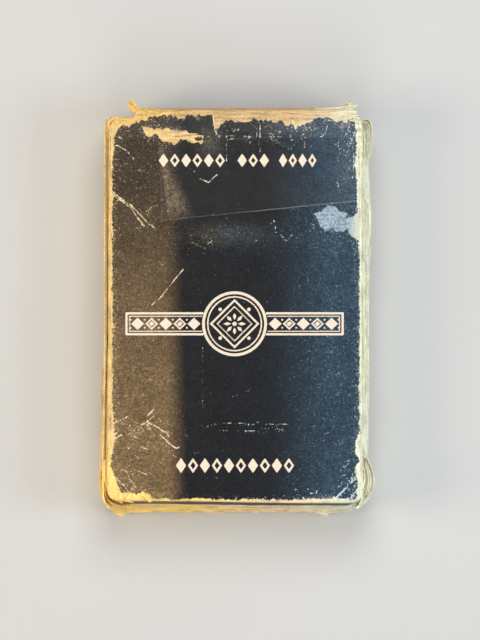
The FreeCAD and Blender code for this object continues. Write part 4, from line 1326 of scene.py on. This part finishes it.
def make_ears():
    """The torn corners of the lid, whose plies fan out past the fold. They slope down a little, so that
    they clear the face when the lid is folded right back."""
    left = (
        (((-22.0, 47.2, 16.7), (-23.0, 47.9, 16.5), (-24.0, 49.0, 16.0), (-24.5, 50.0, 15.5)), 0.80),
        (((-22.2, 47.1, 16.5), (-23.5, 47.5, 16.3), (-24.6, 48.3, 15.9), (-25.3, 48.9, 15.5)), 0.90),
        (((-22.0, 47.2, 16.3), (-23.2, 48.0, 16.0), (-24.4, 49.3, 15.5), (-25.2, 49.6, 15.1)), 0.80),
        (((-22.6, 46.9, 16.5), (-23.7, 47.0, 16.4), (-24.6, 47.2, 16.2), (-25.2, 47.3, 16.0)), 0.50),
        (((-21.0, 47.3, 16.8), (-21.0, 47.8, 16.7), (-20.8, 48.2, 16.4)), 0.90),
        (((-22.6, 47.1, 16.0), (-23.6, 47.8, 15.7), (-24.7, 48.6, 15.2), (-25.0, 49.2, 14.8)), 1.10),
    )
    right = (
        (((19.4, 47.6, 16.8), (23.0, 47.7, 16.7), (26.5, 48.1, 16.4), (28.9, 48.7, 16.0)), 0.55),
        (((21.5, 47.4, 16.6), (24.5, 47.6, 16.5), (27.0, 48.4, 16.0), (28.3, 49.5, 15.5)), 0.80),
        (((24.5, 47.4, 16.4), (26.0, 48.0, 16.1), (27.2, 49.2, 15.5), (27.6, 49.9, 15.1)), 0.75),
        (((25.5, 47.2, 16.6), (27.3, 47.5, 16.5), (28.4, 47.9, 16.2), (29.3, 48.9, 15.7)), 0.80),
    )
    parts = []
    for k, (points, width) in enumerate(left + right):
        sloped = [(x, y, z - 0.15 * (y - 47.2)) for x, y, z in points]
        across = (0.3, 0.7, -0.2 - 0.1 * (k % 3))
        parts.append(sheet_parts(*ply(sloped, across, width, 401 + k, 0.13, 0.35, 34)))
    piece = add_mesh("lid_corner_plies", *join_parts(parts), (BARE,))
    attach(piece, "lid")


def make_edge_plies():
    """Split and torn plies along the box's worn folds."""
    flat = (0.9, 0.1, 0.3)
    upright = (0.15, 0.1, 1.0)
    runs = (
        # left fold: long thin plies between the face and the side wall
        (((-30.5, 44.0, 16.7), (-30.55, 22.0, 16.6), (-30.6, 0.0, 16.7), (-30.75, -18.0, 16.6),
          (-31.0, -32.0, 16.6), (-31.1, -41.0, 16.5), (-30.4, -45.4, 16.3)), flat, 0.85),
        (((-30.5, 40.5, 17.1), (-30.3, 43.4, 17.2), (-29.4, 44.9, 17.3), (-27.6, 45.5, 17.3)),
         (1.0, 0.1, 0.0), 1.3),
        (((-30.28, 42.0, 17.3), (-30.36, 20.0, 17.2), (-30.40, 0.0, 17.3), (-30.60, -18.0, 17.2)),
         flat, 0.26),
        (((-30.62, 30.0, 16.6), (-30.70, 12.0, 16.5), (-30.74, -4.0, 16.6), (-30.80, -14.0, 16.5)),
         upright, 0.9),
        (((-30.75, -8.0, 17.0), (-31.15, -22.0, 16.9), (-31.45, -34.0, 16.9), (-31.2, -43.0, 16.6)),
         flat, 0.36),
        (((-31.2, -14.0, 16.5), (-31.6, -26.0, 16.5), (-31.9, -37.0, 16.4), (-31.6, -44.5, 16.0)),
         upright, 1.3),
        (((-30.9, -20.0, 17.3), (-31.1, -30.0, 17.4), (-31.2, -38.0, 17.3), (-30.6, -43.8, 17.1)),
         flat, 0.22),
        # upper right end of the side wall: a loop standing on edge, with a hollow behind it
        (((30.9, 45.2, 15.9), (32.1, 45.0, 16.0), (32.8, 43.6, 16.1), (32.9, 40.4, 16.0),
          (32.5, 36.4, 15.7)),
         upright, 2.3),
        (((30.7, 44.4, 16.6), (31.9, 44.2, 16.7), (32.4, 42.6, 16.7), (32.4, 39.4, 16.6),
          (31.9, 35.6, 16.3)),
         upright, 1.5),
        (((30.1, 45.0, 17.6), (30.5, 41.8, 17.5), (30.4, 38.2, 17.6), (30.6, 34.8, 17.4)), flat, 0.55),
        (((31.1, 42.6, 16.9), (31.2, 39.4, 17.0), (30.9, 36.4, 16.9)), flat, 0.30),
        # lower right bulge, two leaves with a slit between them
        (((31.7, -35.6, 15.9), (33.0, -38.6, 16.1), (33.4, -41.4, 16.2), (32.6, -44.0, 15.9),
          (30.9, -45.9, 15.4)),
         upright, 2.2),
        (((31.3, -37.0, 16.6), (32.0, -40.0, 16.8), (31.9, -42.8, 16.7), (30.9, -45.0, 16.4),
          (29.4, -46.3, 16.0)),
         upright, 1.4),
        (((30.6, -35.2, 17.3), (30.9, -38.4, 17.3), (31.1, -41.2, 17.2), (30.2, -44.4, 17.0)),
         flat, 0.40),
        (((32.4, -38.6, 16.4), (32.7, -40.8, 16.5), (32.4, -43.0, 16.3)), flat, 0.35),
        # long plies on the slope of the right wall
        (((31.1, 33.0, 16.6), (31.0, 22.0, 16.7), (31.1, 11.0, 16.6)), flat, 0.22),
        (((31.4, 27.0, 16.2), (32.3, 24.4, 15.9), (32.5, 20.0, 15.8), (31.9, 12.5, 15.9)), flat, 0.60),
        (((30.9, 6.0, 16.8), (31.1, -8.0, 16.7), (31.0, -24.0, 16.7)), flat, 0.20),
        (((31.9, 8.0, 15.2), (32.1, -6.0, 15.0), (32.0, -20.0, 15.1)), flat, 0.28),
        # lower left corner: a crushed golden mass
        (((-31.9, -38.0, 15.8), (-31.8, -42.6, 15.7), (-30.7, -46.0, 15.2), (-28.0, -47.9, 14.0)),
         upright, 1.9),
        (((-31.3, -39.6, 16.7), (-31.0, -43.2, 16.7), (-29.7, -46.1, 16.2), (-26.4, -47.4, 15.2)),
         upright, 1.3),
        (((-30.9, -36.0, 17.4), (-30.7, -41.2, 17.5), (-29.2, -44.9, 17.2), (-26.6, -46.3, 16.9)),
         flat, 0.50),
        (((-30.2, -40.0, 17.7), (-29.6, -43.2, 17.8), (-27.8, -45.4, 17.6), (-24.0, -46.2, 17.2)),
         flat, 0.42),
        (((-30.6, -43.0, 14.2), (-29.6, -46.2, 13.2), (-27.6, -47.9, 11.0), (-24.0, -48.2, 8.0)),
         upright, 1.0),
        (((-31.0, -38.5, 14.2), (-30.9, -43.2, 13.6), (-29.5, -46.2, 12.4), (-26.0, -47.5, 9.6)),
         (-0.5, -0.4, 1.0), 3.2),
        (((-31.0, -40.5, 15.9), (-30.7, -44.2, 15.6), (-29.2, -46.5, 15.0), (-25.0, -46.9, 14.4)),
         (-0.7, -0.5, 0.6), 1.8),
        # torn layers by the face's upper right corner
        (((26.9, 45.6, 17.35), (28.1, 45.7, 17.5), (29.3, 45.6, 17.5), (30.0, 45.2, 17.3)),
         (0.2, 0.9, 0.1), 0.6),
        (((27.4, 44.9, 17.6), (28.6, 44.9, 17.75), (29.7, 44.5, 17.7), (30.3, 43.8, 17.4)),
         (0.4, 0.9, 0.1), 0.5),
        # a curled flake near the lower left corner
        (((-22.2, -44.0, 18.1), (-21.1, -44.6, 18.4), (-20.3, -45.3, 18.3), (-19.9, -46.0, 17.9)),
         (1.0, 0.6, 0.2), 1.2),
        # torn nubs on the lower fold
        (((-29.4, -47.4, 3.2), (-28.6, -48.4, 2.8), (-27.6, -49.2, 2.3), (-26.4, -49.5, 1.9)),
         (0.7, 0.7, 0.3), 1.5),
        (((-30.0, -46.8, 4.2), (-29.4, -47.8, 3.8), (-28.4, -48.6, 3.2)), (0.7, 0.7, 0.4), 1.3),
        (((18.6, -48.8, 2.6), (20.6, -49.0, 2.4), (22.2, -49.5, 2.1), (23.4, -49.0, 2.0)),
         (0.3, 0.9, 0.3), 0.8),
    )
    parts = []
    for k, (points, across, width) in enumerate(runs):
        length = np.linalg.norm(np.diff(np.array(points), axis=0), axis=1).sum()
        count = max(26, int(length * 2.5))
        parts.append(sheet_parts(*ply(points, across, width, 431 + k, 0.14, 0.22, count)))
    piece = add_mesh("worn_edge_plies", *join_parts(parts), (BARE,))
    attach(piece, "box")


def make_fibres():
    """Loose paper fibres along the worn edges."""
    random = np.random.default_rng(501)
    parts = []
    places = []
    for y in random.uniform(-44, 44, 46):
        start = (HALF_WIDTH + stations(y, RIGHT_BOW) - 0.15, y, random.uniform(8, 14))
        places.append((start, (1.0, random.uniform(-0.6, 0.6), 0.4)))
    for y in random.uniform(-44, 44, 26):
        start = (-HALF_WIDTH - stations(y, LEFT_BOW) + 0.1, y, random.uniform(8, 15))
        places.append((start, (-1.0, random.uniform(-0.6, 0.6), 0.4)))
    for x in random.uniform(-28, 28, 40):
        places.append(((x, -48.0, random.uniform(0.8, 1.8)), (random.uniform(-0.7, 0.7), -1.0, 0.3)))
    for start, direction in places:
        length = random.uniform(0.25, 0.9)
        start = np.array(start)
        direction = np.array(direction)
        bend = random.uniform(-0.35, 0.35, 3) * length
        points = (start, start + direction * length * 0.5 + bend, start + direction * length)
        parts.append(tube(points, random.uniform(0.03, 0.055)))
    piece = add_mesh("worn_edge_fibres", *join_parts(parts), (BARE,))
    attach(piece, "box")


# ---------------------------------------------------------------- what stays as CAD solids inside the box

def dress_hidden_boards():
    for node in ("bottom_inner_flap", "bottom_dust_flap_left", "bottom_dust_flap_right"):
        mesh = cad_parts[node].data
        mesh.materials.clear()
        mesh.materials.append(BARE_SHADED)


# ---------------------------------------------------------------- floor, lights and camera

def make_floor():
    """A pale round floor that rises gently a long way off."""
    rings = [(0.2, 0.0), (0.8, 0.0), (2.2, 0.0), (2.8, 0.05), (3.4, 0.35), (3.8, 1.0), (4.0, 2.2)]
    count = 96
    vertices = [(0.0, 0.0, 0.0)]
    faces = []
    for radius, height in rings:
        for k in range(count):
            angle = 2 * math.pi * k / count
            vertices.append((radius * math.cos(angle) / MM, radius * math.sin(angle) / MM, height / MM))
    for k in range(count):
        faces.append([0, 1 + k, 1 + (k + 1) % count])
    for ring in range(len(rings) - 1):
        for k in range(count):
            a = 1 + ring * count + k
            b = 1 + ring * count + (k + 1) % count
            faces.append([a, a + count, b + count, b])
    s = Shader("pale_floor")
    mottle = s.noise(0.01, 3.0, 0.5)
    colour = s.mix(mottle, (0.60, 0.60, 0.59), (0.66, 0.66, 0.65))
    material = s.finish(colour, 0.85, Specular_IOR_Level=0.2)
    floor = add_mesh("floor", vertices, faces, (material,))


def area_light(name, place, aim, size, power, colour):
    data = bpy.data.lights.new(name, "AREA")
    data.shape = "SQUARE"
    data.size = size
    data.energy = power
    data.color = colour
    light = bpy.data.objects.new(name, data)
    bpy.context.scene.collection.objects.link(light)
    light.location = place
    direction = Vector(np.array(aim) - np.array(place))
    light.rotation_mode = "QUATERNION"
    light.rotation_quaternion = direction.to_track_quat("-Z", "Y")


def make_lights():
    area_light("upper_softbox", (0.05, 0.45, 0.70), (0, 0, 0), 0.45, 3.2, (1.0, 0.99, 0.97))
    area_light("lower_softbox", (0.0, -0.60, 0.50), (0, 0, 0), 0.40, 1.3, (1.0, 0.98, 0.96))
    area_light("warm_left", (-0.45, -0.05, 0.36), (0, 0, 0.01), 0.26, 1.35, (1.0, 0.84, 0.62))
    area_light("cool_right", (0.45, -0.05, 0.36), (0, 0, 0.01), 0.26, 1.25, (0.80, 0.90, 1.0))
    world = bpy.data.worlds.new("soft_surround")
    world.use_nodes = True
    world.node_tree.nodes["Background"].inputs[0].default_value = (0.92, 0.95, 1.0, 1.0)
    world.node_tree.nodes["Background"].inputs[1].default_value = 0.32
    bpy.context.scene.world = world


SENSOR = 36.0
CAMERA_DISTANCE = 1.5
VIEW_HEIGHT = 0.1526
VIEW_CENTRE = (0.0014, -0.0027)


def make_camera():
    data = bpy.data.cameras.new("camera")
    data.sensor_width = SENSOR
    data.lens = SENSOR * CAMERA_DISTANCE / VIEW_HEIGHT
    data.clip_start = 0.01
    data.clip_end = 20.0
    camera = bpy.data.objects.new("camera", data)
    bpy.context.scene.collection.objects.link(camera)
    camera.location = (VIEW_CENTRE[0], VIEW_CENTRE[1], FACE_TOP * MM + CAMERA_DISTANCE)
    bpy.context.scene.camera = camera


bpy.context.scene.view_settings.view_transform = "Standard"
make_camera()
make_lights()
make_floor()
make_face()
make_walls()
make_rear()
make_bottom_flap()
make_lid()
make_fold()
make_tape()
make_tongue()
make_dust_flaps()
make_cards()
make_ears()
make_edge_plies()
make_fibres()
dress_hidden_boards()
